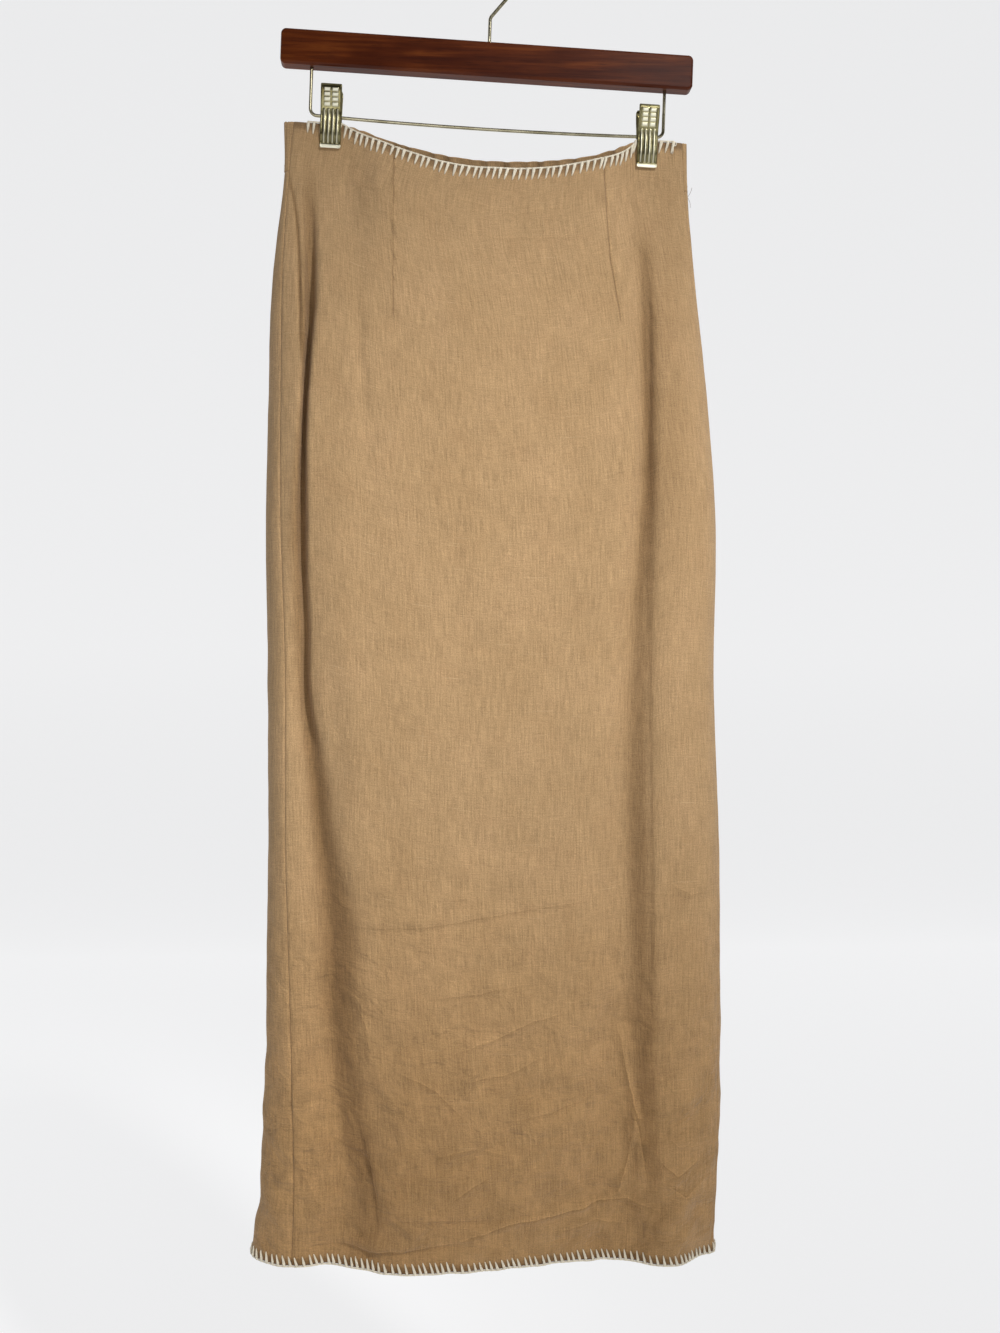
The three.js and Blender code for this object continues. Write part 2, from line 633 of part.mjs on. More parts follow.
const evenShares = (count) => Array.from({ length: count + 1 }, (_, k) => k / count);
const frontSpan = (level) => seamAngles(level, 1);
const backSpan = (level) => {
  const [left, right] = seamAngles(level, -1);
  return [right, 2 * Math.PI + left];
};
// Waves die away towards the side seams.
const CALM = { none: 0.01, full: 0.07 }; // shares of the way across the back
const awayFromSeams = (share) => smoothstep(Math.min(share, 1 - share), CALM.none, CALM.full);
const zigzag = [0, 1, 0, -1];

function skirt() {
  const group = new THREE.Group();
  const front = clothGrid(WALL_DROPS, frontSpan, denseShares(FRONT_COLUMNS));
  const bandWaves = (share, level, k) => GATHER_DEPTH * zigzag[k % 4] * awayFromSeams(share);
  const bandLevels = [0, BAND_HEIGHT / 2, BAND_HEIGHT - GAP / 2];
  const band = clothGrid(bandLevels, backSpan, evenShares(BAND_COLUMNS), bandWaves);
  const panelWaves = (share, level, k) =>
    PANEL_GATHER_DEPTH *
    zigzag[k % 4] *
    awayFromSeams(share) *
    (1 - smoothstep(level, BAND_HEIGHT, BAND_HEIGHT + GATHER_RUN));
  const panelLevels = WALL_DROPS.filter((level) => level >= BAND_HEIGHT).map((level) =>
    level === BAND_HEIGHT ? level + GAP / 2 : level,
  );
  const back = clothGrid(panelLevels, backSpan, evenShares(BACK_COLUMNS), panelWaves);
  const hem = [...front.at(-1), ...back.at(-1)];
  const aboveHem = [...front.at(-2), ...back.at(-2)];
  const waistStitch = blanketStitch(front[0], front[1], WAIST_STITCH, false);
  const hemStitch = blanketStitch(hem, aboveHem, { from: 0, to: 1 }, true);
  group.add(
    mesh("front_panel", facingOut(wallGeometry(front)), "linen"),
    mesh("back_panel", facingOut(wallGeometry(back)), "linen"),
    mesh("back_waistband", facingOut(wallGeometry(band)), "linen"),
    mesh("waist_blanket_stitch", facingOut(waistStitch), "yarn"),
    mesh("hem_blanket_stitch", facingOut(hemStitch), "yarn"),
  );
  return group;
}

const part = new THREE.Group();
part.add(skirt(), hanger());

export default part;
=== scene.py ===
"""A straight maxi skirt in tan linen, hung from a wooden clip hanger.

The cloth's surface is worked out from the same named sizes as the solids, and is then given its finer
folds, gathers, creases and seams. Lengths are in millimetres until an object is made of them.
"""

import math

import bpy
import numpy as np
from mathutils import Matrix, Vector


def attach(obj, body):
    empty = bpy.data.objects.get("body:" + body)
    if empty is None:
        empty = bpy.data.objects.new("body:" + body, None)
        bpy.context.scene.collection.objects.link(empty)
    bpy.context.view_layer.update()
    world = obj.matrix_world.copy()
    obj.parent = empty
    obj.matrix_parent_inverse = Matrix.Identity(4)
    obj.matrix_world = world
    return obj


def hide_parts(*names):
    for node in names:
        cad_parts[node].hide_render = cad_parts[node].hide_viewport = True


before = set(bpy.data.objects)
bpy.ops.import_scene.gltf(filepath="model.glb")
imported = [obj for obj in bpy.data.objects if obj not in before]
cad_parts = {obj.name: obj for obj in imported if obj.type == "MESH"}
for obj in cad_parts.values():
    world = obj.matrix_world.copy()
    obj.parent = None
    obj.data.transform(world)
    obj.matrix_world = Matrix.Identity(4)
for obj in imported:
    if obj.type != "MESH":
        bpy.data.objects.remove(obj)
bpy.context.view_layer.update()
MM = 0.001


def rows(names, *values):
    """A table of rows, read by the names of its columns."""
    return dict(zip(names.split(), np.array(values, float).T))


# Sizes of the skirt
CLOTH = 1.0  # thickness of one layer
SEAM = 0.1  # half the gap at a side seam
LENGTH = 972.0
WAIST_Z = -148.2
WAIST_SLOPE = 0.026
BAND_HEIGHT = 42.0
CASING_ROW = BAND_HEIGHT - 5  # the level of the stitches that close the elastic's casing
SAG_FRONT = dict(depth=35, left=1.0, right=0.65)
SAG_BACK = dict(depth=20, left=1.5, right=0.85)
GRIPS = (-138.3, 134.5)  # x of the two clips where they hold the waist
CLIP_HALF = 9.0

# Sizes of the hanger, in its own level frame
TILT = math.radians(2)
RAIL_LEFT, RAIL_RIGHT, RAIL_Z = -151.5, 154.5, -142.4
RAIL_BOW, RAIL_BEND = 2.5, 6.0  # how far the rail sags in its middle, and the reach of its end bends
CLIPS = {"left": -133.5, "right": 140.5}

# The outline at distances below the waist line: x of the sides, y of the sides, front and back,
# how squarely the sides turn, and how far in the seams lie
SECTIONS = rows(
    "drop left right side front back square seam_left seam_right",
    (0, -178, 170, 2, -7, 8, 6, 8, 4),
    (42, -178, 171, 3, -11, 12, 6, 4, 3),
    (130, -188, 179, 5, -20, 17, 7, 9, 2),
    (235, -191.5, 190, 7, -26, 20, 8, 11.5, 2),
    (335, -194, 196.5, 7, -28, 22, 9, 14, 2),
    (470, -192.5, 195, 7, -28, 22, 9, 16.5, 3),
    (615, -192, 200, 8, -28, 22, 9, 16, 4),
    (755, -194, 201, 9, -27, 22, 9, 22, 5),
    (895, -199, 200, 12, -25, 22, 7, 30, 4),
    (972, -207, 197, 16, -23, 22, 6, 36, 4),
)


def fold(*values, left=2, right=2):
    """A fold's rows: distance below the waist line, x, depth, and reach to the left and to the right.

    left and right are the powers of its sides. 2 gives a round side, more a flat bottom and a crisp crest,
    and one near 1 a crisp bottom and a long slope. A negative depth is a ridge.
    """
    return dict(rows("drop x depth to_left to_right", *values), left=left, right=right)


FRONT_FOLDS = [
    fold(  # the narrow groove beside the rolled left side
        (60, -158.5, 0, 5, 5), (76, -156.5, 11, 5.5, 4.5), (102, -155, 12.5, 5.5, 4.5),
        (142, -153.6, 13, 5.5, 3.8), (168, -154.6, 15, 4.2, 3.4), (192, -156.3, 16, 3.4, 3.2),
        (243, -159.4, 16, 3.4, 3.2), (284, -160.6, 15, 3.8, 3.6), (326, -161.6, 12, 4.4, 4.6),
        (376, -161.4, 10, 3.8, 4.2), (427, -159.2, 8, 3.4, 4), (494, -158.8, 7, 3.2, 4.2),
        (552, -150, 0, 5, 8), left=3, right=4,
    ),
    fold(  # the deep valley that it runs out into, down to the hem
        (300, -162, 0, 8, 16), (376, -163, 6, 8, 17), (427, -163, 10, 8, 17),
        (494, -162, 13, 9, 17), (561, -151, 14.5, 16, 16), (619, -145, 14.5, 20, 16.5),
        (686, -137.5, 14.5, 22, 18), (745, -137, 15, 22, 19), (812, -134, 15.5, 22, 22),
        (870, -127, 15, 24, 25), (912, -124, 14, 26, 30), (972, -138, 13, 26, 38),
        left=1.7, right=1.35,
    ),
    fold((600, -70, 0, 45, 60), (972, -76, -10, 36, 60)),
    fold((900, 184, 0, 14, 20), (972, 186, 16, 14, 20)),
    fold(
        (110, -115, 0, 5, 5), (150, -114.5, 1.4, 5, 4.5), (192, -113, 2.4, 5, 5),
        (243, -109, 1.8, 6, 6), (290, -106, 0.8, 7, 7), (340, -102, 0, 8, 8),
    ),
    fold(  # the valley at the right, whose right side ends in a crisp crest
        (82, 126, 0, 8, 8), (103, 127, 4, 9, 7.5), (146, 128, 7, 10, 8), (180, 128.5, 9, 10, 8),
        (231, 130, 10, 11, 7), (273, 130, 10.5, 11, 7), (316, 128, 11, 11, 9),
        (367, 123, 11.5, 13, 12), (418, 120, 12, 15, 14), (486, 117, 13, 18, 16),
        (555, 115, 14, 21, 17), (614, 113, 14.5, 23, 18), (682, 112, 14.5, 24, 18),
        (742, 112, 15, 26, 19), (810, 112, 15, 34, 21), (870, 111, 15, 44, 24),
        (912, 109, 17, 56, 26), (972, 106, 20, 74, 28),
    ),
    fold(  # the tight line under that crest
        (120, 134, 0, 1.8, 1.8), (150, 134.7, 1.3, 1.6, 1.6), (273, 134.7, 1.4, 1.6, 1.6),
        (367, 132.5, 1.4, 1.6, 1.6), (486, 133, 1.3, 1.6, 1.6), (682, 134.7, 1.5, 1.6, 1.6),
        (742, 133, 1.2, 1.6, 1.6), (800, 130, 0, 2, 2),
    ),
    fold(  # the long crease to the left of that valley
        (165, 113, 0, 1.6, 1.6), (182, 113.4, 1.1, 1.4, 1.4), (232, 110.6, 1.2, 1.4, 1.4),
        (274, 108.1, 1, 1.4, 1.4), (317, 107.2, 0.8, 1.6, 1.6), (350, 106.8, 0, 2, 2),
    ),
    fold(  # the pleat that starts where the left end of the elastic is sewn in
        (46, -174, 0, 3, 2), (62, -171, 3, 2.4, 2), (88, -167, 3.4, 2.2, 2), (120, -165, 3, 2, 2),
        (160, -164, 2.4, 2, 2), (200, -163.6, 0.8, 2, 2), (230, -163, 0, 3, 3),
    ),
    fold((230, -178, 0, 5, 5), (330, -178, 1.2, 5, 5), (520, -178, 0, 5, 5)),
    fold((520, 158, 0, 12, 9), (700, 164, -1.6, 14, 10), (960, 164, -2.5, 14, 12)),
    fold((430, -138, 0, 8, 8), (510, -134, 2, 7, 9), (600, -126, 0, 9, 12)),
]
# Where little light gets into the folds of the front, in the same form: depth is how dark the cloth is
HOLLOWS = [
    fold(  # the groove and the valley at the left
        (30, -157, 0, 6, 6), (60, -156.5, 0.3, 7, 6), (100, -155, 0.42, 7, 6),
        (142, -155.5, 0.45, 7, 5), (192, -157.5, 0.5, 5, 4.5), (243, -159.8, 0.5, 4, 3.6),
        (326, -163, 0.6, 8, 5.5), (376, -163, 0.55, 8, 6), (427, -162, 0.5, 8, 6),
        (494, -158.5, 0.5, 6.5, 6), (561, -148.5, 0.7, 10, 9), (619, -142, 0.65, 11, 11),
        (686, -130, 0.62, 19, 16), (745, -129, 0.55, 17, 15), (812, -124, 0.35, 14, 14),
        (870, -112, 0.3, 14, 12), (912, -104, 0.25, 12, 12), (972, -112, 0.2, 16, 16),
        left=3, right=3,
    ),
    fold(  # the pleat at the left
        (44, -174.2, 0, 1.1, 1.6), (53, -173, 0.55, 1.1, 1.6), (68, -169.6, 0.6, 1.1, 1.7),
        (94, -166.6, 0.6, 1.1, 1.8), (120, -165, 0.6, 1.1, 2), (151, -164, 0.55, 1.1, 2.4),
        (188, -163, 0.5, 1.1, 2.4), (215, -162, 0, 1.1, 2.4),
    ),
    fold(  # the left side, low down
        (560, -200, 0, 22, 22), (700, -200, 0.1, 22, 24), (850, -202, 0.22, 24, 28),
        (972, -202, 0.34, 24, 30),
    ),
    fold(  # the broad hollow beside that valley, low down
        (700, -92, 0, 50, 70), (800, -88, 0.1, 50, 70), (900, -84, 0.16, 56, 84),
        (972, -84, 0.1, 56, 84),
    ),
    fold(  # the right side, high up
        (40, 150, 0, 26, 20), (120, 150, 0.2, 28, 20), (240, 150, 0.22, 28, 20),
        (340, 148, 0.14, 28, 18), (430, 146, 0, 26, 16),
    ),
    fold(  # the valley at the right
        (60, 131, 0, 8, 8), (103, 133, 0.25, 8, 6), (146, 133, 0.3, 6, 8), (231, 133.5, 0.35, 6, 8),
        (316, 133, 0.38, 7, 7), (418, 129, 0.3, 12, 8), (486, 127, 0.3, 14, 8),
        (555, 124, 0.35, 13, 9), (682, 129, 0.36, 10, 10), (745, 132, 0.38, 10, 8),
        (810, 132, 0.36, 10, 8), (870, 134, 0.28, 8, 8), (930, 138, 0.15, 8, 10),
        (972, 130, 0.1, 14, 14), left=3, right=3,
    ),
]
BACK_FOLDS = [
    fold((60, -138, 0, 14, 20), (420, -132, 5, 18, 26), (972, -128, 8, 22, 30)),
    fold((120, -52, 0, 20, 20), (500, -48, 4, 24, 26), (972, -38, 8, 28, 30)),
    fold((90, 44, 0, 18, 18), (460, 50, 4, 24, 20), (972, 58, 7, 30, 26)),
    fold((60, 122, 0, 18, 12), (380, 128, 5, 22, 16), (972, 140, 6, 26, 18)),
]

# Creases pressed into the front: form, height, width, and their way as (x, drop) places. A ridge
# stands out, and a step raises the cloth on the left hand of its way, or lowers it if negative
CREASES = [
    ("step", 1.35, 2.7, (-123, 684), (-60, 682), (-12, 674), (40, 664), (82, 657)),
    ("ridge", 0.6, 2.2, (107, 650), (150, 651), (187, 649)),
    ("step", 2.4, 2.4, (-149, 955), (-122, 953), (-104, 957), (-68, 952), (-20, 946)),
    ("ridge", 2.8, 3.0, (-40, 948), (22, 932), (48, 929), (88, 920), (117, 917), (142, 926)),
    ("step", 1.2, 2.5, (-95, 929), (-65, 927), (-4, 930), (30, 925)),
    ("ridge", 0.75, 2.5, (23, 922), (65, 922), (96, 928)),
    ("step", 1.2, 2.5, (-118, 932), (-104, 954)),
    ("ridge", 2.8, 2.8, (107, 767), (119, 820), (134, 888)),
    ("step", -2.2, 2.8, (116, 800), (126, 860), (133, 905)),
    ("ridge", 1.8, 3.0, (-36, 912), (-22, 902), (-5, 892)),
    ("ridge", 2.0, 2.8, (124, 850), (115, 890), (106, 926)),
    ("ridge", 1.3, 2.8, (-118, 742), (-108, 765), (-102, 800)),
    ("step", 2.2, 2.4, (-113, 846), (-99, 908), (-96.5, 948)),
    ("ridge", 1.5, 3.4, (-40, 790), (0, 776), (30, 762), (64, 752)),
    ("step", 1.2, 3.4, (-60, 742), (-16, 738), (26, 730)),
    ("ridge", 1.4, 4.2, (-30, 812), (10, 806), (44, 790)),
    ("step", 1.3, 3.4, (12, 846), (50, 838), (84, 826)),
    ("ridge", 1.4, 3.8, (-84, 802), (-50, 818), (-22, 846)),
    ("step", 0.75, 3.4, (146, 856), (160, 870), (176, 862)),
    ("ridge", 2.0, 3.4, (142, 880), (158, 894), (178, 880)),
    ("step", -1.5, 2.7, (150, 902), (166, 914), (182, 900)),
    ("ridge", 0.9, 2.9, (148, 640), (168, 652), (186, 648)),
    ("step", 0.75, 2.5, (-186, 746), (-176, 756), (-168, 752)),
    ("step", 1.05, 2.9, (-186, 800), (-178, 812), (-172, 836), (-182, 858)),
    ("ridge", 1.05, 3.4, (-172, 870), (-160, 890), (-150, 916), (-136, 930)),
    ("step", 0.9, 3.4, (-140, 862), (-112, 876), (-92, 900)),
    ("ridge", 1.2, 4.2, (-60, 878), (-20, 868), (20, 876)),
    ("ridge", 1.4, 3.4, (50, 946), (90, 936), (120, 942)),
    ("step", 0.6, 3.4, (-70, 780), (-44, 770), (-30, 752)),
    ("step", 0.75, 2.9, (-128, 60), (-112, 52), (-92, 58)),
    ("ridge", 0.75, 5.1, (120, 34), (106, 80), (108, 130)),
    ("step", 0.6, 3.4, (-60, 78), (0, 96), (60, 92), (98, 72)),
    ("ridge", 0.6, 4.2, (-40, 60), (20, 74), (74, 62)),
]
CREASE_REACH = 8.0  # how far to each side a crease's light and shade are drawn
FULL_HEIGHT = 2.4  # a crease of this height is drawn at full strength
# Two narrow darts are stitched into the front from the waist: their way as (x, drop) places
DARTS = [
    [(-84.6, 14), (-84.8, 105), (-85.2, 168)],
    [(96.1, 14), (100.4, 109), (108.6, 161)],
]


def column(table, key, drop):
    """The value of one column at distances below the waist line, smooth between the rows."""
    at, value = table["drop"], table[key]
    last = len(at) - 1
    i = np.arange(last + 1)
    before, after = np.maximum(i - 1, 0), np.minimum(i + 1, last)
    slope = (value[after] - value[before]) / (at[after] - at[before])
    d = np.clip(drop, at[0], at[-1])
    i = np.clip(np.searchsorted(at, d, side="right") - 1, 0, last - 1)
    span = at[i + 1] - at[i]
    t = (d - at[i]) / span
    return (
        (2 * t**3 - 3 * t**2 + 1) * value[i]
        + (t**3 - 2 * t**2 + t) * span * slope[i]
        + (3 * t**2 - 2 * t**3) * value[i + 1]
        + (t**3 - t**2) * span * slope[i + 1]
    )


def smoothstep(value, low, high):
    t = np.clip((value - low) / (high - low), 0, 1)
    return t * t * (3 - 2 * t)


def bell(distance, width):
    """1 at no distance, with soft sides of that width."""
    return np.exp(-((distance / width) ** 2))


def pressed_in(folds, x, drop):
    """How far the folds press the cloth in at each place."""
    total = 0.0
    for table in folds:
        away = x - column(table, "x", drop)
        reach = np.where(away < 0, column(table, "to_left", drop), column(table, "to_right", drop))
        power = np.where(away < 0, table["left"], table["right"])
        total += column(table, "depth", drop) * np.exp(-(np.abs(away / reach) ** power))
    return total


def pinch(x, drop):
    """1 where a clip presses front and back together, 0 away from it."""
    across = np.maximum(*[1 - smoothstep(np.abs(x - g), CLIP_HALF + 3, CLIP_HALF + 40) for g in GRIPS])
    return across * (1 - smoothstep(drop, 30, 150))


def droop(sag, x):
    """How far the waist edge hangs down between the two clips."""
    middle = sum(GRIPS) / 2
    half = (GRIPS[1] - GRIPS[0]) / 2 - CLIP_HALF
    inside = np.maximum(0, 1 - ((x - middle) / half) ** 2)
    return sag["depth"] * np.where(x < middle, inside ** sag["left"], inside ** sag["right"])


def cloth(angle, level, waves=0.0):
    """The cloth's middle surface, and how far below the waist line each point is.

    Angle 0 is the left side, pi/2 the middle of the front and pi the right side. level is measured from
    the waist edge, and waves is how far the cloth stands in or out there.
    """
    across = -np.cos(angle)
    is_front = np.sin(angle) >= 0
    left, right = SECTIONS["left"][0], SECTIONS["right"][0]
    at_waist = (left + right) / 2 + across * (right - left) / 2
    sag = np.where(is_front, droop(SAG_FRONT, at_waist), droop(SAG_BACK, at_waist))
    drop = level + sag * (1 - level / LENGTH)
    left, right, side, square = (column(SECTIONS, key, drop) for key in ("left", "right", "side", "square"))
    x = (left + right) / 2 + across * (right - left) / 2
    turn = np.sqrt(np.maximum(0, 1 - np.abs(across) ** square))
    plane = np.where(is_front, column(SECTIONS, "front", drop), column(SECTIONS, "back", drop))
    inward = np.where(is_front, pressed_in(FRONT_FOLDS, x, drop), -pressed_in(BACK_FOLDS, x, drop))
    free = side + (plane - side + inward + waves) * turn
    gripped = np.where(is_front, -1, 1) * (CLOTH / 2 + 0.25)
    grip = pinch(x, drop)
    y = free * (1 - grip) + gripped * grip
    return stacked(x, y, WAIST_Z - WAIST_SLOPE * x - drop), drop


def seams(level, sign):
    """The angles of the two side seams, moved apart by half their gap."""
    half = (column(SECTIONS, "right", level) - column(SECTIONS, "left", level)) / 2
    left = np.arccos(1 - column(SECTIONS, "seam_left", level) / half)
    right = np.pi - np.arccos(1 - column(SECTIONS, "seam_right", level) / half)

    def shift(angle):
        a, b = (cloth(angle + step, level)[0] for step in (-1e-3, 1e-3))
        return SEAM / (np.linalg.norm(b - a, axis=-1) / 2e-3)

    return left + sign * shift(left), right - sign * shift(right)


def spread(low, high, step, *closer):
    """Places from low to high that are step apart, or closer round the given (place, reach, step)."""
    fine = np.linspace(low, high, 6001)
    density = np.full(fine.shape, 1 / step)
    for at, reach, near in closer:
        density = np.maximum(density, np.exp(-(((fine - at) / reach) ** 4)) / near)
    total = np.concatenate([[0], np.cumsum((density[1:] + density[:-1]) / 2 * np.diff(fine))])
    count = int(math.ceil(total[-1]))
    return np.interp(np.linspace(0, total[-1], count + 1), total, fine)


def nearest(points, x, drop):
    """For a line of places: each point's distance from it, on which side it is, and how far along."""
    best, side, along, start = np.inf, 0.0, 0.0, 0.0
    for (x0, d0), (x1, d1) in zip(points, points[1:]):
        ex, ed = x1 - x0, d1 - d0
        length = math.hypot(ex, ed)
        t = np.clip(((x - x0) * ex + (drop - d0) * ed) / length**2, 0, 1)
        dx, dd = x - (x0 + t * ex), drop - (d0 + t * ed)
        distance = np.hypot(dx, dd)
        take = distance < best
        best = np.where(take, distance, best)
        side = np.where(take, np.sign(ed * dx - ex * dd), side)
        along = np.where(take, start + t * length, along)
        start += length
    return best, side, along / start


def crease_fade(along):
    """1 along the middle of a crease, less towards its two ends."""
    return np.sin(np.pi * np.clip(along, 0.02, 0.98)) ** 0.6


def creased(x, drop):
    """How far the creases and darts lift the front."""
    total = 0.0
    for form, height, width, *points in CREASES:
        distance, side, along = nearest(points, x, drop)
        shape = bell(distance, width)
        if form == "step":
            shape = side * np.tanh(distance / width * 1.6) * bell(distance, 2.6 * width)
        total += height * crease_fade(along) * shape
    for points in DARTS:
        distance, _, along = nearest(points, x, drop)
        total -= 1.3 * (1 - 0.6 * along) * bell(distance, 0.9)
        total += 0.4 * bell(distance - 3, 2.5) * (along < 0.98)
    return total


def crease_marks(x, drop):
    """For the cloth's shader: where each point lies across the nearest crease, and how sharp that is.

    The first is 0.5 on the crease, more than that on its shaded side, and 0 or 1 at CREASE_REACH.
    """
    across, sharp = 0.5, 0.0
    for _, height, _, *points in CREASES:
        distance, side, along = nearest(points, x, drop)
        strength = crease_fade(along) * min(1, abs(height) / FULL_HEIGHT) * (1 - smoothstep(distance, 5, 9))
        away = np.clip(side * distance * np.sign(height) / (2 * CREASE_REACH), -0.5, 0.5)
        across = np.where(strength > sharp, 0.5 - away, across)
        sharp = np.maximum(sharp, strength)
    for points in DARTS:
        distance, side, along = nearest(points, x, drop)
        strength = (1 - 0.4 * along) * (1 - smoothstep(distance, 1.5, 3))
        away = side * np.minimum(distance, 3) / (2 * CREASE_REACH)
        across = np.where(strength > sharp, 0.53 - away, across)
        sharp = np.maximum(sharp, strength)
    return across, sharp


def crumple(u, v, seed, longest, shortest, count, stretch=1.0):
    """Smooth random relief between about -1 and 1."""
    random = np.random.default_rng(seed)
    total = 0.0
    slow_u, slow_v = u / (2.3 * longest) * 6.28, v / (2.9 * longest) * 6.28
    for _ in range(count):
        wave = math.exp(random.uniform(math.log(shortest), math.log(longest)))
        turn, phase = random.uniform(0, math.pi), random.uniform(0, 2 * math.pi)
        way = u * math.cos(turn) + v / stretch * math.sin(turn)
        bend = 0.9 * np.sin(slow_u + phase) + 0.9 * np.sin(slow_v - phase)
        total += np.sin(2 * math.pi / wave * way + phase + bend) * (wave / longest) ** 0.5
    return total / math.sqrt(count / 2)


def wrinkles(x, drop, seed):
    """The soft unevenness of hanging linen, more crumpled towards the hem, where it was folded."""
    low = smoothstep(drop, 620, 930)
    soft = 0.35 * crumple(x, drop, seed, 90, 30, 14, stretch=6)
    small = crumple(x, drop, seed + 1, 64, 16, 30, stretch=1.2)
    ridged = 0.5 - np.abs(crumple(x, drop, seed + 2, 110, 34, 18, stretch=0.9))
    return soft + (0.12 + 0.75 * low) * small + (0.15 + 0.85 * low) * ridged


def add_object(name, data):
    made = bpy.data.objects.new(name, data)
    bpy.context.scene.collection.objects.link(made)
    return made


def make_mesh(name, vertices, faces, uvs=None, smooth=True):
    """An object from vertices in millimetres; uvs is one (u, v) for each vertex, in metres."""
    mesh = bpy.data.meshes.new(name)
    mesh.from_pydata((np.asarray(vertices) * MM).tolist(), [], [tuple(map(int, f)) for f in faces])
    if uvs is not None:
        layer = mesh.uv_layers.new(name="UVMap")
        corner = np.empty(len(mesh.loops), np.int32)
        mesh.loops.foreach_get("vertex_index", corner)
        layer.data.foreach_set("uv", np.asarray(uvs, np.float32)[corner].ravel())
    mesh.polygons.foreach_set("use_smooth", [smooth] * len(mesh.polygons))
    mesh.update()
    return add_object(name, mesh)


def stacked(*values):
    return np.stack(np.broadcast_arrays(*values), -1)


def unit(vectors):
    return vectors / np.linalg.norm(vectors, axis=-1, keepdims=True)


def grid_normals(points):
    return unit(np.cross(np.gradient(points, axis=0), np.gradient(points, axis=1)))


def shell(name, points, normals, uv, thickness, **marks):
    """A sheet with thickness on a grid of points, closed round its edges.

    Each mark is a value at each point that its material reads: shade is painted shade, 1 where the cloth is
    drawn tight by stitching, hollow is painted shade for how little light gets into a fold, crease_across
    and crease_sharp come from crease_marks, and the clips' mark is a painted highlight, 1 on their pads and
    lip and less on the flutes' ridges.
    """
    r, c = points.shape[:2]
    outer = np.arange(r * c).reshape(r, c)
    inner = outer + r * c
    half = normals * thickness / 2
    vertices = np.concatenate([(points + half).reshape(-1, 3), (points - half).reshape(-1, 3)])
    quads = (
        (outer[:-1, :-1], outer[1:, :-1], outer[1:, 1:], outer[:-1, 1:]),
        (inner[:-1, :-1], inner[:-1, 1:], inner[1:, 1:], inner[1:, :-1]),
        (outer[0, :-1], outer[0, 1:], inner[0, 1:], inner[0, :-1]),
        (outer[-1, :-1], inner[-1, :-1], inner[-1, 1:], outer[-1, 1:]),
        (outer[:-1, 0], inner[:-1, 0], inner[1:, 0], outer[1:, 0]),
        (outer[:-1, -1], outer[1:, -1], inner[1:, -1], inner[:-1, -1]),
    )
    faces = np.concatenate([np.stack(corners, -1).reshape(-1, 4) for corners in quads])
    made = make_mesh(name, vertices, faces, np.concatenate([uv.reshape(-1, 2)] * 2))
    for key, value in marks.items():
        values = np.tile(np.broadcast_to(value, (r, c)).ravel(), 2)
        made.data.attributes.new(key, "FLOAT", "POINT").data.foreach_set("value", values.astype(np.float32))
    return made


def run_along(points):
    """How far along a line each of its points is."""
    return np.concatenate([[0], np.cumsum(np.linalg.norm(np.diff(points, axis=0), axis=1))])


def values_at(distances, run, values):
    """The points or normals of a line at distances along it."""
    return np.stack([np.interp(distances, run, values[:, k]) for k in range(3)], -1)


def grid_uv(points, level):
    """u runs along the cloth and v down it, in metres, so that the threads keep their size."""
    u = run_along(points[len(points) // 2])
    return stacked(u[None, :] * MM, level * MM)


def tubes(name, lines, sides=7):
    """One object of round yarns or wires. Each line is (points, radii), with closed ends."""
    vertices, faces, uvs = [], [], []
    for points, radii in lines:
        points = np.asarray(points, float)
        radii = np.broadcast_to(radii, len(points))
        tangent = unit(np.gradient(points, axis=0))
        side = np.cross(tangent[0], (0.31, 0.17, 0.93))
        base = len(vertices)
        for p, t, r, length in zip(points, tangent, radii, run_along(points)):
            side = side - t * (side @ t)
            side /= np.linalg.norm(side)
            other = np.cross(t, side)
            for s in range(sides):
                angle = 2 * math.pi * s / sides
                vertices.append(p + r * (math.cos(angle) * side + math.sin(angle) * other))
                uvs.append((s / sides * 2, length * MM))
        rings = len(points)
        for k in range(rings - 1):
            for s in range(sides):
                a, b = base + k * sides + s, base + k * sides + (s + 1) % sides
                faces.append((a, b, b + sides, a + sides))
        faces.append(tuple(base + s for s in reversed(range(sides))))
        faces.append(tuple(base + (rings - 1) * sides + s for s in range(sides)))
    return make_mesh(name, vertices, faces, uvs)


# Front panel. Its columns are placed by x half way down, where the skirt's middle is at MIDDLE_X and its
# sides MIDDLE_REACH from there, and are closer at crests and darts. Each keeps its share of the width.
MIDDLE_X, MIDDLE_REACH = 2.5, 193.5
front_levels = spread(0, LENGTH, 6.4, (0, 26, 2.4), (668, 30, 2.8), (815, 180, 3.1), (945, 50, 2.4))[:, None]
front_left, front_right = seams(front_levels, 1)
front_x = spread(
    -179.5, 192, 3.1,
    (-179.5, 4, 0.8), (-166, 18, 1.1), (-86.8, 7.5, 0.75), (115.5, 5, 0.6), (139, 12, 1.1), (192, 4, 0.8),
)
front_share = np.arccos(-np.clip((front_x - MIDDLE_X) / MIDDLE_REACH, -1, 1))
front_share = (front_share - front_share[0]) / (front_share[-1] - front_share[0])
front_angle = front_left + (front_right - front_left) * front_share[None, :]


def from_sides(share, points):
    """How far each point of a panel is from the nearer of its two side edges."""
    length = np.linalg.norm(points[:, -1] - points[:, 0], axis=-1, keepdims=True)
    return np.minimum(share, 1 - share)[None, :] * length


def tuck(share, points):
    """Turns the two edges of a panel in, as they do at a seam."""
    return -0.7 * bell(from_sides(share, points), 1.3)


def calm_sides(share, points):
    """0 at the two side edges of a panel, where its neighbour is sewn on, and 1 away from them."""
    return smoothstep(from_sides(share, points), 0, 14)


def edge_shade(distance):
    """Painted shade on the cloth that a stitched edge draws tight: 1 at the edge, 0 a stitch's length away.
    """
    return 1 - smoothstep(distance, 3.5, 8)


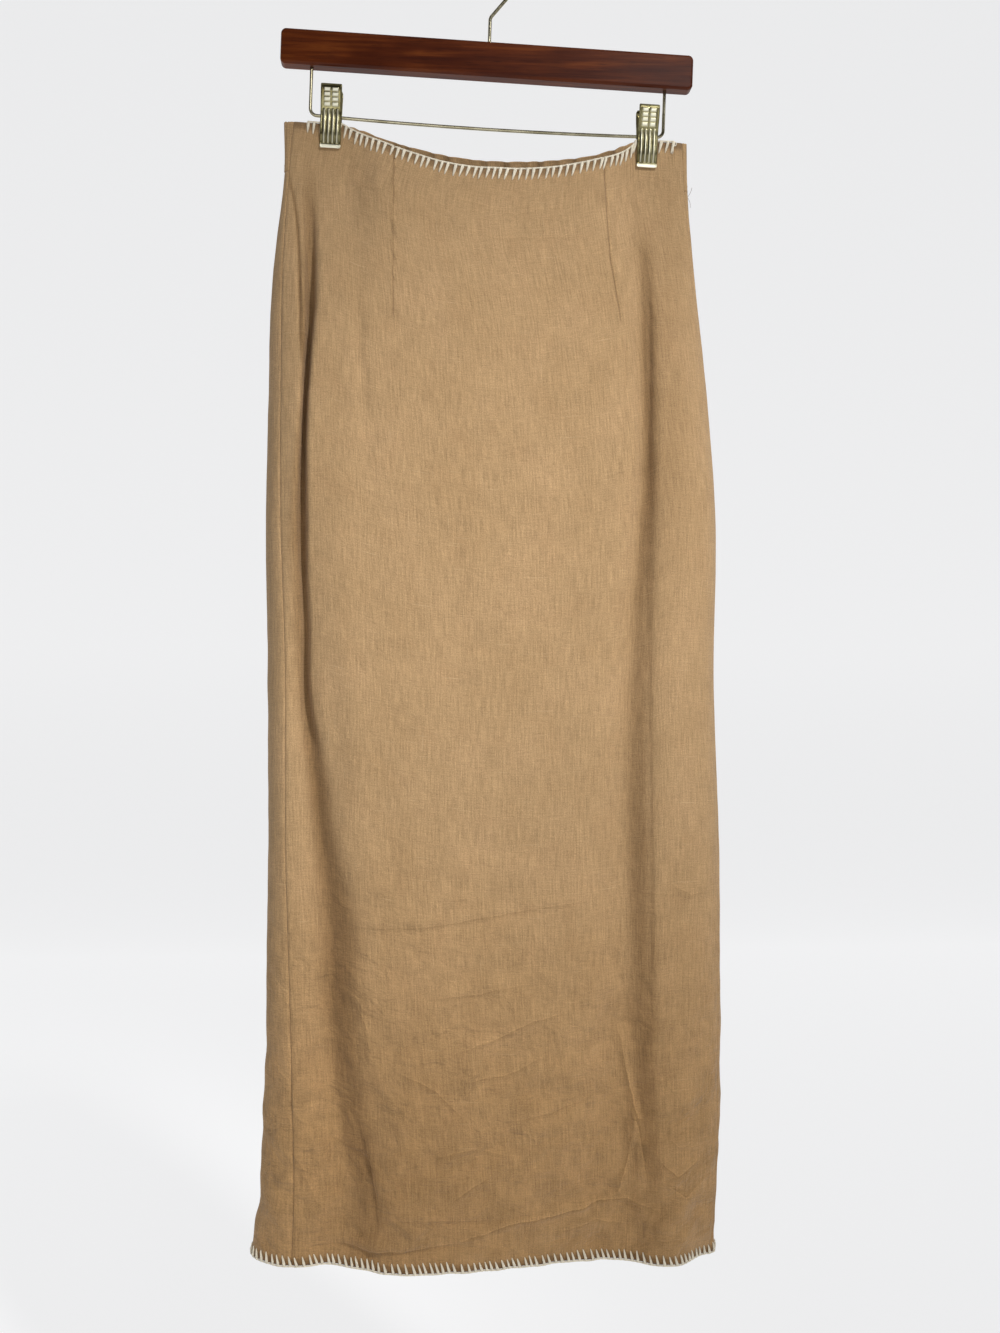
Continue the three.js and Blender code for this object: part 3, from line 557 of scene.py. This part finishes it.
front, front_drop = cloth(front_angle, front_levels)
front_at = (front[..., 0].copy(), front_drop)
lift = creased(*front_at) + wrinkles(*front_at, 11) * calm_sides(front_share, front)
lift = lift * (1 - pinch(*front_at)) + tuck(front_share, front)
front = front + grid_normals(front) * lift[..., None]
front_normal = grid_normals(front)
dart_away = np.minimum(*[nearest(points, *front_at)[0] for points in DARTS])
# painted shade along the stitched waist and hem, and a thin line of it along each dart
front_shade = 0.8 * edge_shade(np.minimum(front_levels, LENGTH - front_levels))
front_shade = np.maximum(front_shade, 0.6 * bell(dart_away, 0.8))
crease_across, crease_sharp = crease_marks(*front_at)
front_hollow = pressed_in(HOLLOWS, *front_at)
front_panel = shell(
    "front_panel_linen", front, front_normal, grid_uv(front, front_levels), CLOTH,
    shade=front_shade, hollow=front_hollow, crease_across=crease_across, crease_sharp=crease_sharp,
)

# Gathers of the elastic back waist: where each lies, how deep it is and how far it runs down
GATHERS = 38
draw = np.random.default_rng(5)
gather_at = (np.arange(GATHERS) + 0.5 + draw.uniform(-0.28, 0.28, GATHERS)) / GATHERS
gather_depth = draw.uniform(0.9, 2.1, GATHERS)
gather_run = draw.uniform(36, 150, GATHERS)
gather_lean = draw.uniform(-0.008, 0.008, GATHERS)
OPENING = 60.0  # how far below the band a gather is twice as wide


def gathered(share, level, sharpness):
    """Sharp inward folds with rounded cloth between them."""
    total = 0.0
    below = np.maximum(level - BAND_HEIGHT, 0)
    for at, depth, run, lean in zip(gather_at, gather_depth, gather_run, gather_lean):
        away = (share - at - lean * below / OPENING) * GATHERS
        width = sharpness * (1 + below / OPENING)
        total -= depth * bell(away, width) * (1 - smoothstep(below, 0.15 * run, run))
    calm = smoothstep(np.minimum(share, 1 - share), 0.005, 0.05)
    return (total + 0.6) * calm


def back_grid(levels, shares, waves):
    """The back's points, from the right seam round to the left one, and their drops."""
    left, right = seams(levels, -1)
    return cloth(right + (2 * np.pi + left - right) * shares[None, :], levels, waves)


band_share = spread(0, 1, 1 / 230, (0, 0.004, 0.001), (1, 0.004, 0.001))
band_level = spread(0, BAND_HEIGHT, 2.6, (0, 2, 1.0), (BAND_HEIGHT - 4, 4, 1.2))[:, None]
puff = 1.1 * np.sin(np.pi * np.clip(band_level / CASING_ROW, 0, 1)) ** 0.5
stitched = -0.8 * bell(band_level - CASING_ROW, 1.4)
band_gather = gathered(band_share[None, :], band_level, 0.2)
band, _ = back_grid(band_level, band_share, 1.1 * band_gather + puff + stitched)
band = band + grid_normals(band) * tuck(band_share, band)[..., None]
band[..., 2] += 0.8 * band_gather * bell(band_level, 5)
band_normal = grid_normals(band)
# painted shade in the folds of the gathers
band_shade = 0.75 * smoothstep(-band_gather, 0.1, 1.3)
waistband = shell("elastic_waistband", band, band_normal, grid_uv(band, band_level), 1.3, shade=band_shade)

back_share = spread(0, 1, 1 / 170, (0, 0.006, 0.0016), (1, 0.006, 0.0016))
back_level = spread(BAND_HEIGHT + 0.1, LENGTH, 6.6, (BAND_HEIGHT, 60, 2.6), (955, 30, 3.6))[:, None]
back, back_drop = back_grid(back_level, back_share, gathered(back_share[None, :], back_level, 0.26))
back_lift = wrinkles(back[..., 0] + 700, back_drop, 31) * (1 - pinch(back[..., 0], back_drop))
back_lift = 0.9 * back_lift * calm_sides(back_share, back) + tuck(back_share, back)
back = back + grid_normals(back) * back_lift[..., None]
back_normal = grid_normals(back)
# painted shade along the stitched hem
back_shade = 0.8 * edge_shade(LENGTH - back_level)
back_panel = shell("back_panel_linen", back, back_normal, grid_uv(back, back_level), CLOTH, shade=back_shade)


# Blanket stitch: a yarn that runs along the edge, with a leg into the cloth at each stitch
def edge_frame(edge, inner, normal, distances):
    """Places, inward directions and outward normals at distances along an edge row."""
    run = run_along(edge)
    place = values_at(distances, run, edge)
    return place, unit(values_at(distances, run, inner) - place), unit(values_at(distances, run, normal))


def blanket_stitch(edge, inner, normal, first, last, pitch, leg, width, lean, seed, closed):
    """Lines for the yarn of one run of blanket stitch.

    width is the legs' at their thick end, and lean is how far they slant at the start and end of the run.
    """
    random = np.random.default_rng(seed)
    total = run_along(edge)[-1]
    count = int(round((last - first) * total / pitch))
    gaps = random.uniform(0.8, 1.2, count)
    marks = first * total + np.cumsum(gaps) / gaps.sum() * (last - first) * total - gaps[0]
    place, inward, out = edge_frame(edge, inner, normal, marks)
    along = unit(np.gradient(place, axis=0))
    lines = []
    lengths = leg * random.uniform(0.9, 1.12, count)
    slant = np.linspace(*lean, count) + random.uniform(-0.06, 0.06, count)
    radii = width / 2 * np.array([0.8, 1.0, 0.86, 0.7, 0.5, 0.28])
    surface = CLOTH / 2
    steps = np.array([0.0, 0.12, 0.35, 0.6, 0.85, 1.0])
    height = surface + 0.62 * radii - np.array([0, 0, 0, 0, 0, 0.3])
    turn = np.linspace(-0.9, 2.2, 6)
    for p, n, o, t, length, s in zip(place, inward, out, along, lengths, slant):
        way = p + np.outer(steps * length, n) + np.outer(height, o) + np.outer(steps * s * length, t)
        lines.append((way, radii * random.uniform(0.9, 1.1)))
        # the loop over the edge, from behind the cloth to the leg
        arch = p - np.outer(0.75 * np.cos(turn - 0.6), n) + np.outer((surface + 0.5) * np.sin(turn), o)
        lines.append((arch + np.outer(np.linspace(-0.5, 0.1, 6), t), 0.34 * width))
    beats = 5
    order = np.concatenate([marks, [marks[0] + total]]) if closed else marks
    fine = np.interp(np.arange((len(order) - 1) * beats + 1) / beats, np.arange(len(order)), order)
    place, inward, out = edge_frame(edge, inner, normal, np.mod(fine, total) if closed else fine)
    beat = np.arange(len(fine)) / beats
    dip = 0.5 - 0.5 * np.cos(2 * np.pi * beat)
    purl = place - inward * (0.5 + 0.3 * dip)[:, None] + out * (surface + 0.75 - 0.45 * dip)[:, None]
    lines.append((purl, 0.76 + 0.12 * np.cos(2 * np.pi * beat)))
    return lines


waist_edge = (front[0], front[4], front_normal[0])
waist_lines = blanket_stitch(*waist_edge, 0.024, 0.981, 5.7, 9.0, 2.8, (0, -0.33), 3, False)
hem_pairs = ((front[-1], back[-1]), (front[-4], back[-3]), (front_normal[-1], back_normal[-1]))
hem_edge = [np.concatenate(pair) for pair in hem_pairs]
hem_lines = blanket_stitch(*hem_edge, 0.0, 1.0, 5.4, 7.8, 2.5, (-0.28, -0.28), 7, True)

# The knot and short tails that end the waist yarn at the right
end = np.array([0.982 * run_along(front[0])[-1]])
(end_place,), (end_in,), (end_out,) = edge_frame(*waist_edge, end)
end_side = np.cross(end_out, end_in)


def from_end(inward, sideways, out):
    """Points at distances from the yarn's end."""
    return end_place + np.outer(inward, end_in) + np.outer(sideways, end_side) + np.outer(out, end_out)


turn = np.linspace(0, 4.4 * np.pi, 30)
knot_height = CLOTH / 2 + 0.6 + 0.5 * np.sin(0.5 * turn) ** 2
knot = from_end(1.5 + 1.5 * np.cos(turn), 1.3 * np.sin(turn) - 0.5, knot_height)
tail = from_end([1, 4, 7, 10], [-1, -1.8, -2.1, -2.8], [1.3, 1.2, 1.2, 1.1])
waist_lines += [(knot, 0.5), (tail, [0.5, 0.45, 0.4, 0.3])]
waist_yarn = tubes("waist_blanket_yarn", waist_lines)
hem_yarn = tubes("hem_blanket_yarn", hem_lines)

# The row of machine stitches that closes the elastic casing on the back
stitch_row = int(np.argmin(np.abs(band_level[:, 0] - CASING_ROW)))
row_points, row_normal = band[stitch_row], band_normal[stitch_row]
row_run = run_along(row_points)
stitch_steps = np.array([0, 0.5, 1.25, 2.0, 2.5])
stitch_height = 0.65 + np.array([-0.15, 0.12, 0.18, 0.12, -0.15])
seam_lines = []
for start in np.arange(3, row_run[-1] - 5, 3.3):
    place = values_at(start + stitch_steps, row_run, row_points)
    out = values_at(start + stitch_steps, row_run, row_normal)
    seam_lines.append((place + out * stitch_height[:, None], 0.2))
casing_stitches = tubes("casing_stitches", seam_lines, sides=5)

# Two loose ends of thread where the elastic is sewn in at the right: curves by two places to a third
THREAD_FROM = np.array([171.6, 2.5, -198.0])
THREADS = [
    [(1.5, -0.6, 1.5), (3.2, -1.0, 4.0), (3.8, -1.2, 8.0)],
    [(1.0, -0.8, -2.0), (2.8, -1.0, -5.0), (2.2, -1.4, -10.0)],
]
thread_lines = []
t = np.linspace(0, 1, 9)[:, None]
for a, b, c in THREADS:
    way = THREAD_FROM + 3 * t * (1 - t) ** 2 * a + 3 * t**2 * (1 - t) * b + t**3 * c
    thread_lines.append((way, 0.16))
loose_thread = tubes("loose_thread", thread_lines, sides=5)


# Clips
def hanging(points):
    """Points of the hanger's own frame, tilted with it."""
    x, y, z = np.moveaxis(np.asarray(points, float), -1, 0)
    cos, sin = math.cos(TILT), math.sin(TILT)
    return stacked(x * cos + z * sin, y, z * cos - x * sin)


def rail_z(x):
    middle, reach = (RAIL_LEFT + RAIL_RIGHT) / 2, (RAIL_RIGHT - RAIL_LEFT) / 2 - RAIL_BEND
    return RAIL_Z - RAIL_BOW * (1 - ((x - middle) / reach) ** 2)


LEAF = rows(  # the way of a leaf: distance below the rail, and distance from the clip's middle
    "drop away",
    (-25.9, 7.1), (-24.9, 8.8), (-22.4, 9.5), (-15.0, 7.9), (-3.0, 4.3), (6.0, 4.2), (16.0, 4.1),
    (22.0, 2.6), (25.0, 2.5), (26.4, 3.2), (27.7, 3.1),
)


def leaf_relief(u, drop):
    """Raised pads on the upper half, flutes on the lower half, a rim and a lip, and the painted highlight on
    the pads, the flutes' ridges and the lip.
    """
    relief = bright = 0.0
    for row in (-20.0, -16.2, -12.4, -8.6):
        for middle in (-3.4, 3.4):
            pad = smoothstep(2.6 - np.abs(u - middle), -0.4, 0.8)
            pad = pad * smoothstep(1.3 - np.abs(drop - row), -0.5, 0.7)
            relief += 0.75 * pad
            bright += pad
    flutes = smoothstep(drop, -5.6, -4.2) * (1 - smoothstep(drop, 22.0, 24.0))
    flutes = flutes * (1 - smoothstep(np.abs(u), 7.0, 7.8))
    wave = (0.5 - 0.5 * np.cos(2 * np.pi * (u + 7.4) / 3.7)) ** 0.8
    relief += 0.55 * flutes * wave
    bright += 0.5 * flutes * wave ** 4
    relief += 0.3 * smoothstep(np.abs(u), 7.6, 8.4) * smoothstep(drop, -23, -20)
    relief += 0.35 * smoothstep(drop, 24.0, 25.0)
    bright += smoothstep(drop, 24.2, 25.0)
    return relief, bright


LEAF_SHEET = 0.7  # thickness of a leaf


def leaf(name, clip_x, side):
    """One leaf of a clip, side -1 in front and 1 behind."""
    top, end = LEAF["drop"][[0, -1]]
    drop = np.linspace(top, end, 135)[:, None]
    width = CLIP_HALF - 1.1 * (1 - np.minimum(1, (drop - top) / 2.2)) ** 2
    width = width - 1.3 * np.maximum(0, (drop - 26.0) / 1.7) ** 2
    u = np.linspace(-1, 1, 57)[None, :] * width
    # the painted highlight on the pads, flute ridges and lip, kept as the leaf's mark
    relief, bright = leaf_relief(u, drop)
    away = column(LEAF, "away", drop) + relief
    away = away - 0.7 * smoothstep(np.abs(u), 8.2, CLIP_HALF) * smoothstep(drop, -25.5, -22.5)
    points = hanging(stacked(clip_x + u, side * away, rail_z(clip_x) - drop))
    normals = grid_normals(points) * -side
    uv = stacked(u * MM, drop * MM)
    points, normals, uv, bright = (grid[:, ::-side] for grid in (points, normals, uv, bright))
    return shell(name, points - normals * LEAF_SHEET / 2, normals, uv, LEAF_SHEET, bright=bright)


def ear_faces(clip_x, side, base):
    """A plate of the rear leaf that reaches forward, with a hole for the rail."""
    steps, hole = 24, 1.7
    vertices = []
    for offset in (-0.5, 0.5):
        for k in range(steps):
            angle = 2 * math.pi * k / steps
            cy, cz = math.cos(angle), math.sin(angle)
            reach = min(
                (3.9 if cy > 0 else 2.9) / max(abs(cy), 1e-6),
                (3.4 if cz > 0 else 2.4) / max(abs(cz), 1e-6),
            )
            for r in (hole, reach):
                vertices.append((clip_x + side * 6.8 + offset, r * cy, r * cz + rail_z(clip_x)))
    faces = []
    up = 2 * steps
    for k in range(steps):
        n = (k + 1) % steps
        a, b, c, d = base + 2 * k, base + 2 * k + 1, base + 2 * n + 1, base + 2 * n
        faces += [(a, d, c, b), (a + up, b + up, c + up, d + up)]
        faces += [(b, c, c + up, b + up), (d, a, a + up, d + up)]
    return hanging(vertices), faces


def coil(clip_x):
    """The spring's turns round the rail."""
    turns, steps, reach, radius, wire = 7, 16, 5.2, 2.35, 0.6
    t = np.linspace(0, 1, turns * steps + 1)
    angle = 2 * np.pi * turns * t + math.pi / 2
    x = clip_x - reach + 2 * reach * t
    return hanging(stacked(x, radius * np.sin(angle), rail_z(clip_x) + radius * np.cos(angle))), wire


for name, clip_x in CLIPS.items():
    front_leaf = leaf(f"{name}_clip_front", clip_x, -1)
    rear_leaf = leaf(f"{name}_clip_rear", clip_x, 1)
    vertices, faces = [], []
    for side in (-1, 1):
        more, quads = ear_faces(clip_x, side, len(vertices))
        vertices += more.tolist()
        faces += quads
    ears = make_mesh(f"{name}_clip_ears", vertices, faces, smooth=False)
    spring = tubes(f"{name}_clip_coil", [coil(clip_x)], sides=8)
    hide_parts(f"{name}_clip_front_leaf")
    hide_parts(f"{name}_clip_rear_leaf")
    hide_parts(f"{name}_clip_spring")
    for piece in (front_leaf, rear_leaf, ears, spring):
        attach(piece, "root")

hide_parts("front_panel")
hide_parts("back_panel")
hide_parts("back_waistband")
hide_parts("waist_blanket_stitch")
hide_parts("hem_blanket_stitch")
for piece in (front_panel, back_panel, waistband, casing_stitches, loose_thread):
    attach(piece, "root")
for piece in (waist_yarn, hem_yarn):
    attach(piece, "root")


# Materials
class Nodes:
    """A short way to write the nodes of a material or of the world."""

    def __init__(self, owner):
        owner.use_nodes = True
        self.owner = owner
        self.tree = owner.node_tree

    def add(self, kind, inputs=None, **settings):
        node = self.tree.nodes.new(kind)
        for key, value in settings.items():
            setattr(node, key, value)
        for key, value in (inputs or {}).items():
            self.put(node.inputs[key], value)
        return node

    def put(self, socket, value):
        if isinstance(value, bpy.types.NodeSocket):
            self.tree.links.new(value, socket)
        else:
            socket.default_value = value

    def place(self, kind):
        return self.add("ShaderNodeTexCoord").outputs[kind]

    def mark(self, name):
        """One of the values that shell gave to the points."""
        return self.add("ShaderNodeAttribute", attribute_name=name, attribute_type="GEOMETRY").outputs["Fac"]

    def math(self, operation, a, b=0.0):
        return self.add("ShaderNodeMath", {0: a, 1: b}, operation=operation).outputs[0]

    def plus(self, a, b):
        return self.math("ADD", a, b)

    def times(self, a, b):
        return self.math("MULTIPLY", a, b)

    def noise(self, place, scale, detail, rough=0.5, distortion=0.0, shift=(0, 0)):
        """Noise with that many cells to the metre along each axis."""
        inputs = dict(Vector=place, Scale=(*scale, 1)[:3], Location=(*shift, 0))
        moved = self.add("ShaderNodeMapping", inputs).outputs[0]
        inputs = dict(Vector=moved, Scale=1.0, Detail=detail, Roughness=rough, Distortion=distortion)
        return self.add("ShaderNodeTexNoise", inputs).outputs[0]

    def ramp(self, value, *stops):
        node = self.add("ShaderNodeValToRGB", {"Fac": value})
        elements = node.color_ramp.elements
        elements.remove(elements[1])
        elements[0].position = stops[0][0]
        for at, _ in stops[1:]:
            elements.new(at)
        for element, (_, colour) in zip(elements, stops):
            element.color = colour
        return node.outputs[0]

    def remap(self, value, a, b, low=0.3, high=0.7, smooth=False):
        """From a to b as value goes from low to high, which noise mostly lies between."""
        inputs = {"Value": value, "From Min": low, "From Max": high, "To Min": a, "To Max": b}
        kind = "SMOOTHSTEP" if smooth else "LINEAR"
        return self.add("ShaderNodeMapRange", inputs, interpolation_type=kind).outputs[0]

    def mix(self, factor, a, b, blend="MIX"):
        node = self.add("ShaderNodeMix", {0: factor}, data_type="RGBA", blend_type=blend)
        self.put(node.inputs[6], a)
        self.put(node.inputs[7], b)
        return node.outputs[2]

    def tint(self, colour, by, factor=1.0):
        """Colour multiplied by another as far as factor says."""
        return self.mix(factor, colour, by, "MULTIPLY")

    def bump(self, height, distance, strength, **normal):
        inputs = dict(normal, Height=height, Distance=distance, Strength=strength)
        return self.add("ShaderNodeBump", inputs).outputs[0]

    def finish(self, colour, roughness, **inputs):
        shader = next(n for n in self.tree.nodes if n.type == "BSDF_PRINCIPLED")
        for key, value in dict(inputs, Base_Color=colour, Roughness=roughness).items():
            self.put(shader.inputs[key.replace("_", " ")], value)
        return self.owner


def new_material(name):
    return Nodes(bpy.data.materials.new(name))


def rgb(*values):
    """A colour from its screen values, 0 to 255, as the shader takes it."""
    return (*((c / 255 / 12.92) if c <= 10 else ((c / 255 + 0.055) / 1.055) ** 2.4 for c in values), 1)


THREAD = 0.00075  # from one thread of the weave to the next but one, in metres


def linen():
    """Plain-weave linen: uneven threads both ways, slubs, and soft blotches where it was worn and washed."""
    n = new_material("linen")
    uv = n.place("UV")
    u, v = n.add("ShaderNodeSeparateXYZ", {0: uv}).outputs[:2]
    low = n.remap(v, 0, 1, 0.53, 0.92, smooth=True)
    warp, weft = n.noise(uv, (780, 45), 3, 0.6), n.noise(uv, (80, 900), 3, 0.6, shift=(3, 7))
    streaks = n.plus(n.remap(warp, -1, 1), n.remap(weft, -0.5, 0.5))
    waver = n.times(n.noise(uv, (90, 90), 2), 5.0)
    across = n.math("SINE", n.plus(n.times(u, 2 * math.pi / THREAD), waver))
    down = n.math("SINE", n.plus(n.times(v, 2 * math.pi / THREAD), waver))
    weave = n.times(across, down)

    blotch = n.noise(uv, (16, 12), 4, 0.6)
    base = n.ramp(blotch, (0.3, rgb(170, 138, 98)), (0.5, rgb(174, 142, 102)), (0.7, rgb(179, 146, 106)))
    patch = n.noise(uv, (42, 34), 3, 0.55, shift=(5, 2))
    base = n.mix(n.remap(patch, 0, 0.3, 0.5, 0.8), base, rgb(164, 129, 90))
    tone = n.plus(n.plus(1.0, n.times(streaks, 0.17)), n.times(weave, 0.05))
    tone = n.plus(tone, n.remap(n.noise(uv, (950, 950), 2, 0.6), -0.18, 0.18))
    cloud = n.remap(n.noise(uv, (44, 58), 5, 0.66, 0.4, shift=(8, 5)), -0.15, 0.15)
    tone = n.plus(tone, n.times(cloud, n.plus(n.times(low, 0.75), 0.15)))
    colour = n.tint(base, n.add("ShaderNodeCombineColor", {0: tone, 1: tone, 2: tone}).outputs[0])
    slub = n.remap(n.noise(uv, (30, 1300), 1, shift=(11, 1)), 0, 1, 0.7, 0.8)
    slub_up = n.remap(n.noise(uv, (1300, 26), 1, shift=(1, 13)), 0, 1, 0.72, 0.82)
    slubs = n.math("MAXIMUM", slub, slub_up)
    colour = n.mix(n.times(slubs, 0.5), colour, rgb(212, 182, 140))
    # painted shade: the cloth darker and browner towards the hem
    colour = n.tint(colour, (0.98, 0.9, 0.77, 1), low)

    # light and shade along creases and in tight and hollow cloth
    shaky = n.remap(n.noise(uv, (70, 70), 4, 0.6, shift=(6, 6)), -0.05, 0.05)
    plain, near, lit = (0.8, 0.8, 0.8, 1), (0.86, 0.86, 0.86, 1), (1, 1, 1, 1)
    dim, dim_side = (0.6, 0.58, 0.54, 1), (0.71, 0.7, 0.68, 1)
    line = n.plus(n.mark("crease_across"), shaky)
    line = n.ramp(line, (0.3, plain), (0.44, near), (0.485, lit), (0.53, dim), (0.6, dim_side), (0.8, plain))
    line = n.tint(line, (1.25, 1.25, 1.25, 1))
    colour = n.tint(colour, line, n.mark("crease_sharp"))
    colour = n.tint(colour, (0.5, 0.48, 0.48, 1), n.mark("shade"))
    colour = n.tint(colour, (0.36, 0.28, 0.165, 1), n.mark("hollow"))

    patches = n.noise(uv, (30, 36), 4, 0.55, 0.5, shift=(4, 3))
    normal = n.bump(n.times(patches, n.plus(n.times(low, 0.85), 0.15)), 0.009, 1.0)
    normal = n.bump(n.noise(uv, (120, 95), 4, 0.65, 0.6, shift=(2, 9)), 0.0012, 0.7, Normal=normal)
    height = n.plus(n.plus(n.times(weave, 0.5), n.times(streaks, 0.35)), n.times(slubs, 0.8))
    normal = n.bump(height, 0.00016, 0.6, Normal=normal)
    rough = n.remap(streaks, 0.95, 0.8, -1, 1)
    sheen = dict(Sheen_Weight=0.12, Sheen_Roughness=0.5)
    return n.finish(colour, rough, Normal=normal, Specular_IOR_Level=0.25, **sheen)


def yarn(name, light, dark, twist):
    """Soft two-ply yarn with its fuzz, and twist turns to the metre."""
    n = new_material(name)
    uv = n.place("UV")
    u, v = n.add("ShaderNodeSeparateXYZ", {0: uv}).outputs[:2]
    turn = n.plus(n.times(u, math.pi), n.times(v, 2 * math.pi * twist))
    ply = n.math("ABSOLUTE", n.math("SINE", turn))
    fuzz = n.noise(uv, (14, 5000), 3, 0.7)
    mixed = n.plus(n.times(ply, 0.7), n.times(fuzz, 0.5))
    # darker in the grooves between the plies, painted shade, and uneven at random with the fuzz
    colour = n.ramp(mixed, (0.2, rgb(*dark)), (0.75, rgb(*light)))
    normal = n.bump(mixed, 0.0003, 0.8)
    rough = n.remap(fuzz, 0.75, 0.92)
    return n.finish(colour, rough, Normal=normal, Sheen_Weight=0.2, Specular_IOR_Level=0.2)


def wood():
    """Dark red-brown stained wood under clear varnish, its grain along the bar."""
    n = new_material("stained_wood")
    place = n.place("Object")
    grain = n.noise(place, (9, 260, 200), 5, 0.62, 0.4)
    pores = n.noise(place, (60, 1500, 1500), 2, 0.5)
    cloud = n.noise(place, (14, 30, 34), 3, 0.55)
    colour = n.ramp(grain, (0.3, rgb(58, 18, 3)), (0.52, rgb(90, 38, 9)), (0.75, rgb(122, 62, 20)))
    colour = n.mix(n.remap(cloud, 0, 0.75, 0.42, 0.7), colour, rgb(58, 20, 8))
    colour = n.mix(n.remap(pores, 0, 0.6, 0.62, 0.75), colour, rgb(26, 9, 5))
    normal = n.bump(n.plus(grain, n.times(pores, -0.5)), 0.00025, 0.35)
    varnish = dict(Coat_Weight=0.06, Coat_Roughness=0.15)
    return n.finish(colour, n.remap(cloud, 0.42, 0.3), Normal=normal, Specular_IOR_Level=0.12, **varnish)


def metal(name, light, dark, rough):
    """Bright plated metal, dulled a little by handling."""
    n = new_material(name)
    place = n.place("Object")
    cloud = n.noise(place, (60, 60, 60), 4, 0.6)
    scratch = n.noise(place, (1800, 1800, 160), 2, 0.6)
    # painted highlight: the clips' pads, flute ridges and lip drawn near-white and rougher
    bright = n.mark("bright")
    colour = n.ramp(cloud, (0.35, rgb(*dark)), (0.62, rgb(*light)))
    colour = n.mix(bright, colour, rgb(255, 252, 232))
    rubbed = n.plus(n.remap(cloud, rough, rough + 0.12), n.times(bright, 0.4))
    return n.finish(colour, rubbed, Normal=n.bump(scratch, 0.00006, 0.3), Metallic=1.0)


def dress(material, *things):
    for thing in things:
        thing.data.materials.clear()
        thing.data.materials.append(material)


dress(linen(), front_panel, back_panel, waistband)
dress(yarn("yarn", (250, 241, 220), (222, 204, 172), 900.0), waist_yarn, hem_yarn)
dress(yarn("sewing_thread", (196, 162, 118), (150, 116, 80), 1800.0), casing_stitches)
dress(yarn("dark_thread", (120, 96, 70), (70, 54, 38), 1800.0), loose_thread)
clip_metal = metal("clip_plating", (168, 160, 118), (118, 108, 70), 0.16)
wire_metal = metal("wire_plating", (196, 188, 160), (150, 142, 114), 0.12)
for name in CLIPS:
    for part in ("front", "rear", "ears", "coil"):
        dress(clip_metal, bpy.data.objects[f"{name}_clip_{part}"])
for node, material in (("hanger_bar", wood()), ("hanger_hook", wire_metal), ("clip_rail", wire_metal)):
    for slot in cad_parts[node].material_slots:
        slot.material = material

# A pale floor that sweeps up into a backdrop
FLOOR_Z, BACK_Y, BEND = -1450.0, 3600.0, 900.0
turn = np.linspace(0, math.pi / 2, 17)
y = np.concatenate([[-4200, 0], BACK_Y - BEND + BEND * np.sin(turn), [BACK_Y]])
z = np.concatenate([[FLOOR_Z, FLOOR_Z], FLOOR_Z + BEND - BEND * np.cos(turn), [3200]])
x = np.array([-4500.0, 4500.0])
points = stacked(x[None, :], y[:, None], z[:, None]).reshape(-1, 3)
faces = [(2 * k, 2 * k + 1, 2 * k + 3, 2 * k + 2) for k in range(len(y) - 1)]
made = make_mesh("studio_sweep", points, faces)
glow = dict(Emission_Color=(0.955, 0.957, 0.965, 1), Emission_Strength=0.74)
dress(new_material("studio_paper").finish((0.3, 0.3, 0.3, 1), 0.95, **glow), made)


def add_light(name, kind, place, aim, power, **settings):
    """A light that shines from place towards aim."""
    light = bpy.data.lights.new(name, kind)
    for key, value in dict(settings, energy=power).items():
        setattr(light, key, value)
    made = add_object(name, light)
    made.location = place
    made.rotation_euler = (Vector(aim) - Vector(place)).to_track_quat("-Z", "Y").to_euler()


KEY = dict(place=(1.3, -2.1, 1.5), aim=(-0.04, 0, -0.6), spot_blend=1.0, shadow_soft_size=0.2)
add_light("key", "SPOT", power=265, spot_size=math.radians(22), **KEY)
add_light("key_middle", "SPOT", power=180, spot_size=math.radians(13), **KEY)
SOFT = dict(kind="AREA", power=3.2, shape="RECTANGLE")
add_light("clip_glow", place=(-0.25, -2.4, -0.4), aim=(-0.13, 0, -0.13), size=1.0, size_y=0.7, **SOFT)
add_light("window", place=(0.66, -2.4, 0.85), aim=(0.1, 0, -0.3), size=0.34, size_y=0.6, **SOFT)

# The world is pale all round, with a dark doorway behind the camera for the metal to reflect
sky = Nodes(bpy.data.worlds.new("studio"))


def vector_math(operation, a, b=(0, 0, 0), output="Vector"):
    return sky.add("ShaderNodeVectorMath", {0: a, 1: b}, operation=operation).outputs[output]


direction = vector_math("NORMALIZE", vector_math("MULTIPLY", sky.place("Generated"), (0.35, 1, 1)))
towards = vector_math("DOT_PRODUCT", direction, (0, -0.91, 0.41), output="Value")
background = sky.tree.nodes["Background"]
sky.put(background.inputs["Color"], (0.93, 0.945, 0.97, 1))
sky.put(background.inputs["Strength"], sky.remap(towards, 0.36, 0.04, 0.9, 0.96))
bpy.context.scene.world = sky.owner
bpy.context.scene.view_settings.view_transform = "Standard"

SENSOR = 36  # mm, along the picture's height
FOCAL, PICTURE = 1300, 1333  # the lens's focal length and the picture's height, in its pixels
camera = bpy.data.cameras.new("camera")
camera.sensor_width = SENSOR
camera.lens = FOCAL * SENSOR / PICTURE
camera.clip_start, camera.clip_end = 0.01, 30
eye = add_object("camera", camera)
eye.location = (-0.07173, -1.12289, -0.60947)
eye.rotation_euler = (math.pi / 2, 0, -math.radians(4))
bpy.context.scene.camera = eye
